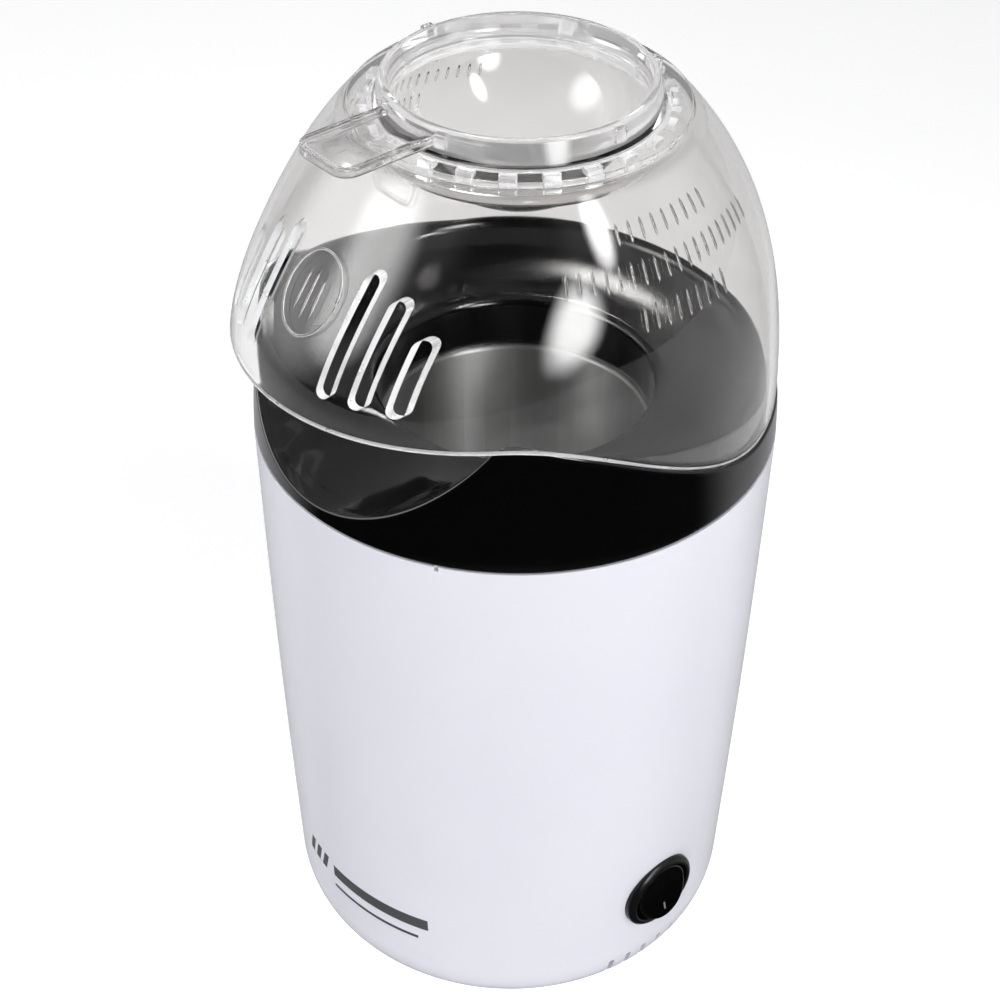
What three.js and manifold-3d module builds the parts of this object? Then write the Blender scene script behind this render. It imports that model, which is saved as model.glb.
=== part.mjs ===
// Hot-air popcorn maker: a tapered housing with a black collar, a lift-off clear cover, a measuring cup,
// an aluminium popping chamber, a heater, a blower and a rocker switch.
// Millimetres, +Z up. The chute faces -Y, the switch faces +X and the cord gland faces +Y.
// A bearing is an angle round the body's axis, in degrees, from the chute towards the switch.
import * as THREE from 'three';
import { mergeVertices } from 'three/addons/utils/BufferGeometryUtils.js';
import { ParametricGeometry } from 'three/addons/geometries/ParametricGeometry.js';
import Module from 'manifold-3d';

const wasm = await Module();
wasm.setup();

// ---------------------------------------------------------------- driving dimensions

const GAP = 0.3;                  // clearance kept between neighbouring pieces
const TOTAL_HEIGHT = 280;         // table to the cup's rim
const SEGMENTS = 36;              // facets round a large turned piece
const MEDIUM_SEGMENTS = 32;
const SWITCH_SEGMENTS = 24;
const SMALL_SEGMENTS = 10;        // facets round a small turned piece
const FAR = 90;                   // past the outside of everything, for cutting tools

const HOUSING_BOTTOM = 1.5;
const HOUSING_TOP = 178.2;
const HOUSING_BOTTOM_RADIUS = 59.2;
const HOUSING_SHOULDER_RADIUS = 67.5;   // where the rounded foot edge meets the tapered wall
const HOUSING_SHOULDER_HEIGHT = 15.8;
const HOUSING_TOP_RADIUS = 72.3;
const HOUSING_WALL = 2.2;
const HOUSING_BELLY = 0.6;        // how far the tapered wall bows out halfway up
const HOUSING_HEIGHTS = [HOUSING_BOTTOM, 2.2, 4.2, 8.5, HOUSING_SHOULDER_HEIGHT, 70, 125, HOUSING_TOP];
const VENT_BEARINGS = between(-13, 13, 5);
const VENT_WIDTH = 2;
const VENT_BOTTOM = 3.4;
const VENT_TOP = 12.5;

const BASE_OPENING_RADIUS = 57;
const BASE_RADIUS = BASE_OPENING_RADIUS - GAP;
const BASE_BOTTOM = 2;
const BASE_TOP = 4.4;
const BASE_CENTRE_HOLE = 4;
const BASE_SLOT_COUNT = 12;
const BASE_SLOT_WIDTH = 4;
const BASE_SLOT_INNER = 20;
const BASE_SLOT_OUTER = 38;
const FOOT_BEARINGS = [45, 135, 225, 315];
const FOOT_CIRCLE = 46;
const FOOT_PAD_RADIUS = 6;
const FOOT_STEM_RADIUS = 2.7;
const FOOT_STEM_TOP = 6.2;
const FOOT_BEVEL = 0.6;
const SCREW_BEARINGS = [0, 120, 240];
const SCREW_CIRCLE = 49;
const SCREW_CLEARANCE = 1.9;      // radius of the hole round a base screw
const BOSS_RADIUS = 3.6;
const BOSS_BOTTOM = 5;
const BOSS_TOP = 24;
const GUIDE_SHELF = 75.7;         // the air guide's flange rests on the bosses' webs at this height
const GLAND_HEIGHT = 22;
const GLAND_BORE = 3.4;
const GLAND_BARREL = 4.7;
const GLAND_FLANGE = 6.2;
const GLAND_INNER_END = 62;
const GLAND_OUTER_END = 70.2;

const DOME_RADIUS = 71.3;         // the dome is a superellipse of revolution
const DOME_BASE = 170;
const DOME_HEIGHT = 131;
const DOME_POWER = 3.35;
const DOME_ROOT = 1.2;
const COVER_WALL = 2;
const COVER_TOP_WALL = 3;
const COVER_TOP_RADIUS = 43;
const COVER_TOP = 272;
const RIM_HIGH = 216;             // cover's lower edge over the chute
const RIM_LOW = 190;              // cover's lower edge at the back
const HOOD_REACH = 10.2;          // how far the hood flares past the dome
const HOOD_RIM_REACH = 8.6;       // what is left of the flare at the widest part of the rim
const HOOD_HALF_ANGLE = 75;
const HOOD_FADE_HEIGHT = 262;     // the flare has died out at this height
const SLOT_OFFSETS = [15, 23.8, 32.7];
const SLOT_TOPS = [252, 248.5, 242];
const SLOT_BOTTOM = 224;
const SLOT_WIDTH = 4.2;
const CROWN_INNER = 38.2;         // the raised ring round the cover's opening
const CROWN_OUTER = 43.4;
const CROWN_RISE = 1.6;
const RECESS_COUNT = 24;          // pockets in the ring's inner edge
const RECESS_WIDTH = 4.4;
const RECESS_INNER = 37.8;
const RECESS_OUTER = 40.6;
const RECESS_FLOOR = COVER_TOP - 2.1;

const MOUTH_RADIUS = 38;          // neck over the chamber
const MOUTH_HEIGHT = 190;
const MOUTH_CURL = 3;             // radius of the rounded edge between neck and dish
const NECK_BOTTOM = 174;
const DISH_RADIUS = 65.6;
const DISH_RISE = 7;              // from the mouth's edge out to the dish's wall
const DISH_FILLET = 4;
const COLLAR_WALL = 2.2;
const COLLAR_BOTTOM = HOUSING_TOP + GAP;
const SKIRT_RADIUS = HOUSING_TOP_RADIUS - HOUSING_WALL - GAP;
const SKIRT_WALL = 1.6;
const SKIRT_BOTTOM = 170;
const LIP_HIGH = 213;             // collar's inner lip beside the chute
const LIP_LOW = 198;              // collar's inner lip at the back
const LIP_CLEARANCE = 0.5;        // between the lip and the cover's inside
const CHUTE_RADIUS = 58;          // the chute is a leaning cylinder of this radius
const CHUTE_LIP_HEIGHT = 182;
const CHUTE_SLOPE = 13.6;         // degrees, falling outwards
const CLAMP_BEARINGS = SCREW_BEARINGS.map((bearing) => bearing + 60);
const CLAMP_CIRCLE = 46.5;
const CLAMP_TOP = 172.2;
const CLAMP_THICKNESS = 1.2;

const CUP_RIM_RADIUS = 35;
const CUP_WALL = 1.8;
const CUP_SEAT_HEIGHT = 272.8;    // underside of the flange that rests on the cover
const CUP_SEAT_WIDTH = 2;
const CUP_DEPTH = 33;
const COVER_OPENING = CUP_RIM_RADIUS + 2 * GAP;
const HANDLE_LENGTH = 62.6;       // from the axis to the tab's end
const HANDLE_WIDTH = 20;
const HANDLE_TOP = TOTAL_HEIGHT - 1;
const HANDLE_DEPTH = 3;
const HANDLE_WALL = 1.6;
const HANDLE_CORNER = 5.5;
const LUG_BEARINGS = [18, 90, 156, 270, 342];   // small lugs on the outside of the cup's rim
const LUG_WIDTH = 3.4;
const LUG_HEIGHT = 3.6;
const LUG_REACH = 37.2;           // from the axis to a lug's face

const CHAMBER_RADIUS = 37;
const CHAMBER_WALL = 0.9;
const CHAMBER_FLOOR = 100;
const CHAMBER_CORNER = 6;
const CHAMBER_CONE_RISE = 8;      // the floor's middle stands this much higher
const CHAMBER_FLANGE_RADIUS = 41.5;
const LOUVRE_COUNT = 16;
const LOUVRE_WIDTH = 1.8;
const LOUVRE_LENGTH = 10;
const LOUVRE_LEAN = 35;           // degrees
const LOUVRE_HEIGHT = 11;         // middle of a louvre over the floor
const JACKET_RADIUS = 47.6;
const JACKET_WALL = 0.8;
const JACKET_BOTTOM = 84;
const JACKET_TOP = 170;
const BOARD_THICKNESS = 0.9;
const BOARD_REACH = 45.5;
const BOARD_BOTTOM = 85;
const BOARD_TOP = 97;
const COIL_RADIUS = 37;
const COIL_WIRE = 0.8;
const COIL_TURNS = 3;

const GUIDE_TOP = 80;             // top of the straightening vanes
const GUIDE_BOTTOM = 50;
const GUIDE_RADIUS = 42.5;
const GUIDE_WALL = 2;
const GUIDE_FLANGE_RADIUS = 63.5;
const SPIDER_ARMS = 3;
const SPIDER_TOP = GUIDE_BOTTOM + 2.2;
const VANE_COUNT = 6;
const FAN_RADIUS = 38;
const FAN_HEIGHT = 12;
const FAN_BASE = 55;
const FAN_BLADES = 9;
const BLADE_LEAN = 52;            // degrees
const MOTOR_RADIUS = 14;
const MOTOR_TOP = GUIDE_BOTTOM - GAP;
const MOTOR_BOTTOM = 18;
const MOTOR_SCREW_PLACES = [-8, 8];
const SHAFT_RADIUS = 1.5;
const SHAFT_BOTTOM = 12.6;
const RECTIFIER_TOP = 11.2;
const RECTIFIER_THICKNESS = 1.2;
const DIODE_BEARINGS = [45, 135, 225, 315];

const SWITCH_HEIGHT = 36.5;
const SWITCH_FLANGE_RADIUS = 12.7;
const SWITCH_BORE = 10.3;
const SWITCH_BARREL = SWITCH_BORE + 0.7;
const SWITCH_DEPTH = 16;
const SWITCH_FLANGE_RISE = 1.9;
const ROCKER_TILT = 9;            // degrees either side of level
const WALL_TILT = Math.atan2(
  HOUSING_TOP_RADIUS - HOUSING_SHOULDER_RADIUS,
  HOUSING_TOP - HOUSING_SHOULDER_HEIGHT,
);
const SWITCH_WALL = housingRadius(SWITCH_HEIGHT);
const SWITCH_PIVOT = SWITCH_WALL - 2.4;   // the rocker's pivot, measured out from the body's axis

// Half of the difference between the hood's reach and the back wall: it puts the origin in the middle
// of the footprint.
const AXIS_Y = (DOME_RADIUS + HOOD_RIM_REACH - HOUSING_TOP_RADIUS) / 2;

// ---------------------------------------------------------------- materials

function plastic(colour, roughness) {
  return new THREE.MeshStandardMaterial({ color: colour, roughness, metalness: 0 });
}

function clear(colour) {
  return new THREE.MeshStandardMaterial({
    color: colour, roughness: 0.05, metalness: 0, transparent: true, opacity: 0.35,
  });
}

function metal(colour, roughness) {
  return new THREE.MeshStandardMaterial({ color: colour, roughness, metalness: 1 });
}

// ---------------------------------------------------------------- solids

function toSolid(geometry) {
  const bare = geometry.clone();
  bare.deleteAttribute('normal');
  bare.deleteAttribute('uv');
  const merged = mergeVertices(bare, 1e-4);
  return new wasm.Manifold(new wasm.Mesh({
    numProp: 3,
    vertProperties: new Float32Array(merged.attributes.position.array),
    triVerts: new Uint32Array(merged.index.array),
  }));
}

function toGeometry(solid) {
  const mesh = solid.getMesh();
  const geometry = new THREE.BufferGeometry();
  geometry.setAttribute('position', new THREE.BufferAttribute(mesh.vertProperties, 3));
  geometry.setIndex(new THREE.BufferAttribute(mesh.triVerts, 1));
  geometry.computeVertexNormals();
  return geometry;
}

function joined(...geometries) {
  return toGeometry(geometries.map(toSolid).reduce((whole, piece) => whole.add(piece)));
}

function cut(geometry, ...tools) {
  return toGeometry(tools.map(toSolid).reduce((whole, tool) => whole.subtract(tool), toSolid(geometry)));
}

function common(geometry, other) {
  return toGeometry(toSolid(geometry).intersect(toSolid(other)));
}

// A turned piece: the profile is [radius, height] pairs, anticlockwise, closed on itself or on the axis.
function turned(profile, segments = SEGMENTS) {
  const onAxis = profile[0][0] === 0 && profile[profile.length - 1][0] === 0;
  const closed = onAxis ? profile : [...profile, profile[0]];
  const points = closed.map(([radius, height]) => new THREE.Vector2(radius, height));
  return new THREE.LatheGeometry(points, segments).rotateX(Math.PI / 2);
}

function tube(inner, outer, bottom, top, segments = SEGMENTS) {
  return turned([[inner, bottom], [outer, bottom], [outer, top], [inner, top]], segments);
}

function rod(radius, bottom, top, segments = SMALL_SEGMENTS) {
  const height = top - bottom;
  return new THREE.CylinderGeometry(radius, radius, height, segments)
    .rotateX(Math.PI / 2)
    .translate(0, 0, bottom + height / 2);
}

function block(xRange, yRange, zRange) {
  const sizes = [xRange, yRange, zRange].map(([low, high]) => high - low);
  const middles = [xRange, yRange, zRange].map(([low, high]) => (low + high) / 2);
  return new THREE.BoxGeometry(...sizes).translate(...middles);
}

// A ring whose section changes with the bearing: profileAt gives the same number of pairs every time.
function variedRing(profileAt, segments = SEGMENTS) {
  const count = profileAt(0).length;
  const place = (u, v, target) => {
    const bearing = 360 * (u % 1);
    const profile = profileAt(bearing);
    const [radius, height] = profile[Math.round(v * count) % count];
    target.copy(atBearing(bearing, radius, height));
  };
  return new ParametricGeometry(place, segments, count);
}

function radians(degrees) {
  return degrees * Math.PI / 180;
}

function atBearing(bearing, radius, height) {
  const angle = radians(bearing);
  return new THREE.Vector3(radius * Math.sin(angle), -radius * Math.cos(angle), height);
}

// Turns a piece that was made facing -Y so that it faces the bearing.
function facing(geometry, bearing) {
  return geometry.rotateZ(radians(bearing));
}

function smoothstep(low, high, value) {
  const t = Math.min(1, Math.max(0, (value - low) / (high - low)));
  return t * t * (3 - 2 * t);
}

// Bearing folded to 0..180, because the body is the same on both sides of the chute.
function sideBearing(bearing) {
  return bearing > 180 ? 360 - bearing : bearing;
}

function between(low, high, steps) {
  return Array.from({ length: steps + 1 }, (_, index) => low + (high - low) * index / steps);
}

// Bearings of a number of pieces spread evenly round the body.
function around(count) {
  return Array.from({ length: count }, (_, index) => 360 * index / count);
}

// ---------------------------------------------------------------- outer surfaces

function domeRadius(height) {
  const fall = Math.pow(Math.max(0, height - DOME_BASE) / DOME_HEIGHT, DOME_POWER);
  return DOME_RADIUS * Math.pow(1 - fall, 1 / DOME_ROOT);
}

function hoodFlare(bearing, height) {
  const side = sideBearing(bearing);
  if (side >= HOOD_HALF_ANGLE) {
    return 0;
  }
  const across = Math.cos(radians(90 * side / HOOD_HALF_ANGLE)) ** 2;
  return HOOD_REACH * across * (1 - smoothstep(RIM_HIGH, HOOD_FADE_HEIGHT, height));
}

function rimHeight(bearing) {
  return RIM_HIGH - (RIM_HIGH - RIM_LOW) * smoothstep(45, 115, sideBearing(bearing));
}

function lipHeight(bearing) {
  return LIP_HIGH - (LIP_HIGH - LIP_LOW) * smoothstep(40, 130, sideBearing(bearing));
}

function housingRadius(height) {
  if (height < HOUSING_SHOULDER_HEIGHT) {
    const span = HOUSING_SHOULDER_HEIGHT - HOUSING_BOTTOM;
    const t = (HOUSING_SHOULDER_HEIGHT - height) / span;
    const drop = HOUSING_SHOULDER_RADIUS - HOUSING_BOTTOM_RADIUS;
    return HOUSING_SHOULDER_RADIUS - drop * (1 - Math.sqrt(1 - t * t));
  }
  const t = (height - HOUSING_SHOULDER_HEIGHT) / (HOUSING_TOP - HOUSING_SHOULDER_HEIGHT);
  const taper = HOUSING_TOP_RADIUS - HOUSING_SHOULDER_RADIUS;
  return HOUSING_SHOULDER_RADIUS + taper * t + HOUSING_BELLY * Math.sin(Math.PI * t);
}

function housingOutline(offset) {
  return HOUSING_HEIGHTS.map((height) => [housingRadius(height) + offset, height]);
}

function housingEnvelope(offset) {
  const wall = housingOutline(offset);
  return turned([[0, HOUSING_BOTTOM], ...wall, [0, HOUSING_TOP]]);
}

// ---------------------------------------------------------------- housing and base

function housingShell() {
  const outer = housingOutline(0);
  const inner = housingOutline(-HOUSING_WALL).slice(2).reverse();
  const seat = HOUSING_HEIGHTS[2];
  return turned([[BASE_OPENING_RADIUS, HOUSING_BOTTOM], ...outer, ...inner, [BASE_OPENING_RADIUS, seat]]);
}

// A boss for a base screw, with a web that ties it to the wall and carries the air guide.
function screwBoss(bearing) {
  const webHalf = 1;
  const webStart = -SCREW_CIRCLE - 2;
  const shelfStart = -60;         // the web is only this deep above the boss
  const boss = rod(BOSS_RADIUS, BOSS_BOTTOM, BOSS_TOP).translate(0, -SCREW_CIRCLE, 0);
  const web = block([-webHalf, webHalf], [-FAR, webStart], [BOSS_BOTTOM + 1, GUIDE_SHELF]);
  const clearance = block([-2 * webHalf, 2 * webHalf], [shelfStart, 0], [BOSS_TOP, FAR]);
  return facing(cut(joined(boss, web), clearance), bearing);
}

function footVent(bearing) {
  const half = VENT_WIDTH / 2;
  const start = HOUSING_WALL + 7 - HOUSING_BOTTOM_RADIUS;
  const slot = block([-half, half], [-FAR, start], [VENT_BOTTOM, VENT_TOP]);
  return facing(slot, bearing);
}

// A rod of the radius, square to the wall, that runs through it at the switch's place.
function throughSwitch(radius) {
  return onSwitch(rod(radius, -40, 20, SWITCH_SEGMENTS));
}

// A rod of the radius along +Y at the gland's place.
function throughGland(radius) {
  return rod(radius, 50, FAR).rotateX(-Math.PI / 2).translate(0, 0, GLAND_HEIGHT);
}

// A hole or post made at the front of the circle, turned to the bearing.
function rodOnCircle(circle, bearing, radius, bottom, top, segments = SMALL_SEGMENTS) {
  return facing(rod(radius, bottom, top, segments).translate(0, -circle, 0), bearing);
}

function housing() {
  const inside = housingEnvelope(-1);
  const posts = SCREW_BEARINGS.map((bearing) => common(screwBoss(bearing), inside));
  const bores = SCREW_BEARINGS.map((bearing) => {
    return rodOnCircle(SCREW_CIRCLE, bearing, SCREW_CLEARANCE, 0, BOSS_TOP - 3);
  });
  const vents = [90, 270].flatMap((side) => VENT_BEARINGS.map((step) => footVent(side + step)));
  const switchHole = throughSwitch(SWITCH_BARREL + 2 * GAP);
  const glandHole = throughGland(GLAND_BARREL + GAP);
  return cut(joined(housingShell(), ...posts), ...bores, ...vents, switchHole, glandHole);
}

function basePlate() {
  const plate = tube(BASE_CENTRE_HOLE, BASE_RADIUS, BASE_BOTTOM, BASE_TOP);
  const half = BASE_SLOT_WIDTH / 2;
  const slots = around(BASE_SLOT_COUNT).map((bearing) => {
    return facing(block([-half, half], [-BASE_SLOT_OUTER, -BASE_SLOT_INNER], [0, BASE_TOP + 1]), bearing);
  });
  const footHoles = FOOT_BEARINGS.map((bearing) => {
    return rodOnCircle(FOOT_CIRCLE, bearing, FOOT_STEM_RADIUS + GAP, 0, BASE_TOP + 1);
  });
  const screwHoles = SCREW_BEARINGS.map((bearing) => {
    return rodOnCircle(SCREW_CIRCLE, bearing, SCREW_CLEARANCE, 0, BASE_TOP + 1);
  });
  return cut(plate, ...slots, ...footHoles, ...screwHoles);
}

function foot(bearing) {
  const padTop = BASE_BOTTOM - GAP;
  const profile = [
    [0, 0], [FOOT_PAD_RADIUS - FOOT_BEVEL, 0], [FOOT_PAD_RADIUS, FOOT_BEVEL], [FOOT_PAD_RADIUS, padTop],
    [FOOT_STEM_RADIUS, padTop], [FOOT_STEM_RADIUS, FOOT_STEM_TOP - FOOT_BEVEL],
    [FOOT_STEM_RADIUS - FOOT_BEVEL, FOOT_STEM_TOP], [0, FOOT_STEM_TOP],
  ];
  return facing(turned(profile, 14).translate(0, -FOOT_CIRCLE, 0), bearing);
}

// A pan-head screw standing on its head, with a slot in the head.
function panScrew(shankRadius, length, headRadius = shankRadius * 2, headHeight = shankRadius * 0.8) {
  const profile = [
    [0, 0], [headRadius * 0.7, 0], [headRadius, headHeight * 0.5], [headRadius, headHeight],
    [shankRadius, headHeight], [shankRadius, headHeight + length], [0, headHeight + length + shankRadius],
  ];
  const arm = headRadius * 0.55;
  const slit = headRadius * 0.12;
  const depth = headHeight * 0.45;
  const recess = block([-arm, arm], [-slit, slit], [-1, depth]);
  return cut(turned(profile, 10), recess);
}

function baseScrew(bearing) {
  const headClearance = 0.5;      // the head stands this far off the table
  return facing(panScrew(1.5, 17).translate(0, -SCREW_CIRCLE, headClearance), bearing);
}

function cordGland() {
  const flangeStart = GLAND_OUTER_END - 4.2;
  const profile = [
    [GLAND_BORE, GLAND_INNER_END], [GLAND_BARREL, GLAND_INNER_END], [GLAND_BARREL, flangeStart],
    [GLAND_FLANGE, flangeStart], [GLAND_FLANGE, GLAND_OUTER_END - 1],
    [GLAND_FLANGE - 0.8, GLAND_OUTER_END], [GLAND_BORE + 0.6, GLAND_OUTER_END],
    [GLAND_BORE, GLAND_OUTER_END - 0.6],
  ];
  const bush = turned(profile, 16).rotateX(-Math.PI / 2).translate(0, 0, GLAND_HEIGHT);
  const wallRing = cut(housingEnvelope(GAP), throughGland(GLAND_BARREL + GAP / 2));
  return cut(bush, wallRing);
}

// ---------------------------------------------------------------- collar

function collarRadius(height) {
  const blend = 1 - smoothstep(HOUSING_TOP, 200, height);
  return domeRadius(height) + (HOUSING_TOP_RADIUS - 0.1 - DOME_RADIUS) * blend;
}

function lipRadius(height) {
  return domeRadius(height) - COVER_WALL - LIP_CLEARANCE;
}

function collarSection(bearing) {
  const rim = rimHeight(bearing) - GAP;
  const lip = lipHeight(bearing);
  const wall = between(COLLAR_BOTTOM, rim, 3).map((height) => [collarRadius(height), height]);
  const lipEdge = lipRadius(Math.max(rim, lip));
  const insideMouth = MOUTH_RADIUS - 8;
  return [
    [insideMouth, SKIRT_BOTTOM], [SKIRT_RADIUS, SKIRT_BOTTOM], [SKIRT_RADIUS, COLLAR_BOTTOM],
    ...wall,
    [lipEdge, rim], [lipEdge, lip], [insideMouth, lip],
  ];
}

// Everything above the dish's floor. A positive grow gives the same space with a skin of that thickness.
function dishSpace(grow) {
  const filletStart = DISH_RADIUS - DISH_FILLET;
  const filletRadius = DISH_FILLET + grow;
  const filletHeight = MOUTH_HEIGHT + DISH_RISE + 3;
  const skyHeight = RIM_HIGH + 24;
  const floor = between(MOUTH_RADIUS, filletStart, 3).map((radius) => {
    const t = (radius - MOUTH_RADIUS) / (DISH_RADIUS - MOUTH_RADIUS);
    return [radius, MOUTH_HEIGHT + DISH_RISE * t * t - grow];
  });
  const fillet = between(30, 90, 2).map((angle) => [
    filletStart + filletRadius * Math.sin(radians(angle)),
    filletHeight - filletRadius * Math.cos(radians(angle)),
  ]);
  const outerEdge = [DISH_RADIUS + grow, skyHeight];
  return turned([[0, MOUTH_HEIGHT - grow], ...floor, ...fillet, outerEdge, [0, skyHeight]]);
}

function chuteSpace(grow) {
  const length = 80;
  const middle = 60;              // how far the cylinder's middle lies in front of the axis
  const rise = (DOME_RADIUS - middle) * Math.tan(radians(CHUTE_SLOPE));
  return new THREE.CylinderGeometry(CHUTE_RADIUS + grow, CHUTE_RADIUS + grow, length, 40)
    .rotateX(-radians(CHUTE_SLOPE))
    .translate(0, -middle, CHUTE_LIP_HEIGHT + CHUTE_RADIUS / Math.cos(radians(CHUTE_SLOPE)) + rise);
}

function neckSpace(grow) {
  const curl = MOUTH_CURL + grow;
  const curlHeight = MOUTH_HEIGHT - MOUTH_CURL + 0.4;
  const mouth = between(90, 0, 3).map((angle) => [
    MOUTH_RADIUS + MOUTH_CURL - curl * Math.sin(radians(angle)),
    curlHeight + curl * Math.cos(radians(angle)) - grow,
  ]);
  const below = SKIRT_BOTTOM - 20;
  return turned([[0, below], [mouth[0][0], below], ...mouth, [0, mouth[3][1]]]);
}

function clampBoss(bearing) {
  return rodOnCircle(CLAMP_CIRCLE, bearing, 3.4, CLAMP_TOP + GAP, MOUTH_HEIGHT - 1);
}

function collar() {
  const below = SKIRT_BOTTOM - 10;
  const skirtInside = SKIRT_RADIUS - SKIRT_WALL;
  const neckOutside = MOUTH_RADIUS + COLLAR_WALL;
  const blank = cut(
    variedRing(collarSection),
    tube(neckOutside + 0.1, skirtInside, below, NECK_BOTTOM),
    rod(neckOutside + 1, below, NECK_BOTTOM, SEGMENTS),
  );
  const skin = joined(
    tube(skirtInside, FAR, below, RIM_HIGH + 14),
    dishSpace(COLLAR_WALL),
    chuteSpace(COLLAR_WALL),
    neckSpace(COLLAR_WALL),
  );
  const shell = cut(common(blank, skin), dishSpace(0), chuteSpace(0), neckSpace(0));
  const bosses = CLAMP_BEARINGS.map(clampBoss);
  const bores = CLAMP_BEARINGS.map((bearing) => rodOnCircle(CLAMP_CIRCLE, bearing, 1.6, below, 182));
  return cut(joined(shell, ...bosses), ...bores);
}

// ---------------------------------------------------------------- cover

function coverRadius(bearing, height) {
  return domeRadius(height) + hoodFlare(bearing, height);
}

function coverSection(bearing) {
  const rim = rimHeight(bearing);
  const levels = between(0, 1, 7).map((t) => rim + (COVER_TOP - 2 - rim) * Math.pow(t, 0.85));
  const outer = levels.map((height) => [coverRadius(bearing, height), height]);
  const inner = levels.map((height) => {
    const sag = 1.2 * smoothstep(RIM_HIGH, COVER_TOP - 2, height);
    return [coverRadius(bearing, height) - COVER_WALL, height - sag];
  });
  inner[0][1] = rim;
  return [
    ...outer,
    [COVER_TOP_RADIUS, COVER_TOP], [COVER_OPENING, COVER_TOP], [COVER_OPENING, COVER_TOP - COVER_TOP_WALL],
    ...inner.reverse(),
  ];
}

function hoodSlot(offset, top) {
  const half = SLOT_WIDTH / 2;
  const outline = new THREE.Shape();
  outline.moveTo(offset - half, SLOT_BOTTOM + half);
  outline.absarc(offset, SLOT_BOTTOM + half, half, Math.PI, 2 * Math.PI, false);
  outline.lineTo(offset + half, top - half);
  outline.absarc(offset, top - half, half, 0, Math.PI, false);
  outline.closePath();
  return new THREE.ExtrudeGeometry(outline, { depth: 75, bevelEnabled: false, curveSegments: 3 })
    .rotateX(Math.PI / 2)
    .translate(0, -20, 0);
}

function ringRecess(bearing) {
  const half = RECESS_WIDTH / 2;
  return facing(block([-half, half], [-RECESS_OUTER, -RECESS_INNER], [RECESS_FLOOR, TOTAL_HEIGHT]), bearing);
}

function cover() {
  const crown = tube(CROWN_INNER, CROWN_OUTER, COVER_TOP - COVER_TOP_WALL / 2, COVER_TOP + CROWN_RISE);
  const recesses = around(RECESS_COUNT).map(ringRecess);
  const slots = SLOT_OFFSETS.flatMap((offset, index) => {
    return [offset, -offset].map((side) => hoodSlot(side, SLOT_TOPS[index]));
  });
  return cut(joined(variedRing(coverSection), crown), ...recesses, ...slots);
}

// ---------------------------------------------------------------- measuring cup

function bowlCurve(radius, depth) {
  return between(8, 90, 6).map((angle) => [
    radius * Math.sin(radians(angle)),
    TOTAL_HEIGHT - 1 - depth * Math.cos(radians(angle)),
  ]);
}

function cupBowl() {
  const outer = bowlCurve(CUP_RIM_RADIUS - 0.4, CUP_DEPTH).filter(([, height]) => height < CUP_SEAT_HEIGHT);
  const inner = bowlCurve(CUP_RIM_RADIUS - CUP_WALL - 0.4, CUP_DEPTH - CUP_WALL).reverse();
  return turned([
    [0, TOTAL_HEIGHT - 1 - CUP_DEPTH], ...outer,
    [CUP_RIM_RADIUS - 0.2, CUP_SEAT_HEIGHT], [CUP_RIM_RADIUS + CUP_SEAT_WIDTH, CUP_SEAT_HEIGHT],
    [CUP_RIM_RADIUS + CUP_SEAT_WIDTH, CUP_SEAT_HEIGHT + 1],
    [CUP_RIM_RADIUS, TOTAL_HEIGHT - 0.5], [CUP_RIM_RADIUS - 0.5, TOTAL_HEIGHT],
    [CUP_RIM_RADIUS - CUP_WALL, TOTAL_HEIGHT],
    ...inner, [0, TOTAL_HEIGHT - 1 - CUP_DEPTH + CUP_WALL],
  ], MEDIUM_SEGMENTS);
}

function tabOutline(inset) {
  const half = HANDLE_WIDTH / 2 - inset;
  const end = HANDLE_LENGTH - inset;
  const corner = HANDLE_CORNER - inset;
  const root = -CUP_RIM_RADIUS + HANDLE_WALL + inset;
  const outline = new THREE.Shape();
  outline.moveTo(-half, -end + corner);
  outline.absarc(-half + corner, -end + corner, corner, Math.PI, 1.5 * Math.PI, false);
  outline.absarc(half - corner, -end + corner, corner, 1.5 * Math.PI, 2 * Math.PI, false);
  outline.lineTo(half, root);
  outline.lineTo(-half, root);
  outline.closePath();
  return outline;
}

function tab(inset, bottom, top) {
  return new THREE.ExtrudeGeometry(tabOutline(inset), {
    depth: top - bottom, bevelEnabled: false, curveSegments: 3,
  }).translate(0, 0, bottom);
}

function rimLug(bearing) {
  const half = LUG_WIDTH / 2;
  const top = TOTAL_HEIGHT - 0.5;
  const across = [-LUG_REACH, -CUP_RIM_RADIUS + CUP_WALL / 2];
  return facing(block([-half, half], across, [top - LUG_HEIGHT, top]), bearing);
}

function measuringCup() {
  const bottom = HANDLE_TOP - HANDLE_DEPTH;
  const below = bottom - 5;
  const hollow = tab(HANDLE_WALL, below, HANDLE_TOP - HANDLE_WALL);
  const insideRim = rod(CUP_RIM_RADIUS - 0.3, below, TOTAL_HEIGHT + 2, MEDIUM_SEGMENTS);
  const handle = cut(tab(0, bottom, HANDLE_TOP), hollow, insideRim);
  return joined(cupBowl(), handle, ...LUG_BEARINGS.map(rimLug));
}

// ---------------------------------------------------------------- chamber and heater

function louvre(bearing) {
  const width = LOUVRE_WIDTH / 2;
  const length = LOUVRE_LENGTH / 2;
  const through = [-CHAMBER_RADIUS - 4, -CHAMBER_RADIUS + 4];
  const slot = block([-width, width], through, [-length, length]).rotateY(radians(LOUVRE_LEAN));
  return facing(slot.translate(0, 0, CHAMBER_FLOOR + LOUVRE_HEIGHT), bearing);
}

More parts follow.
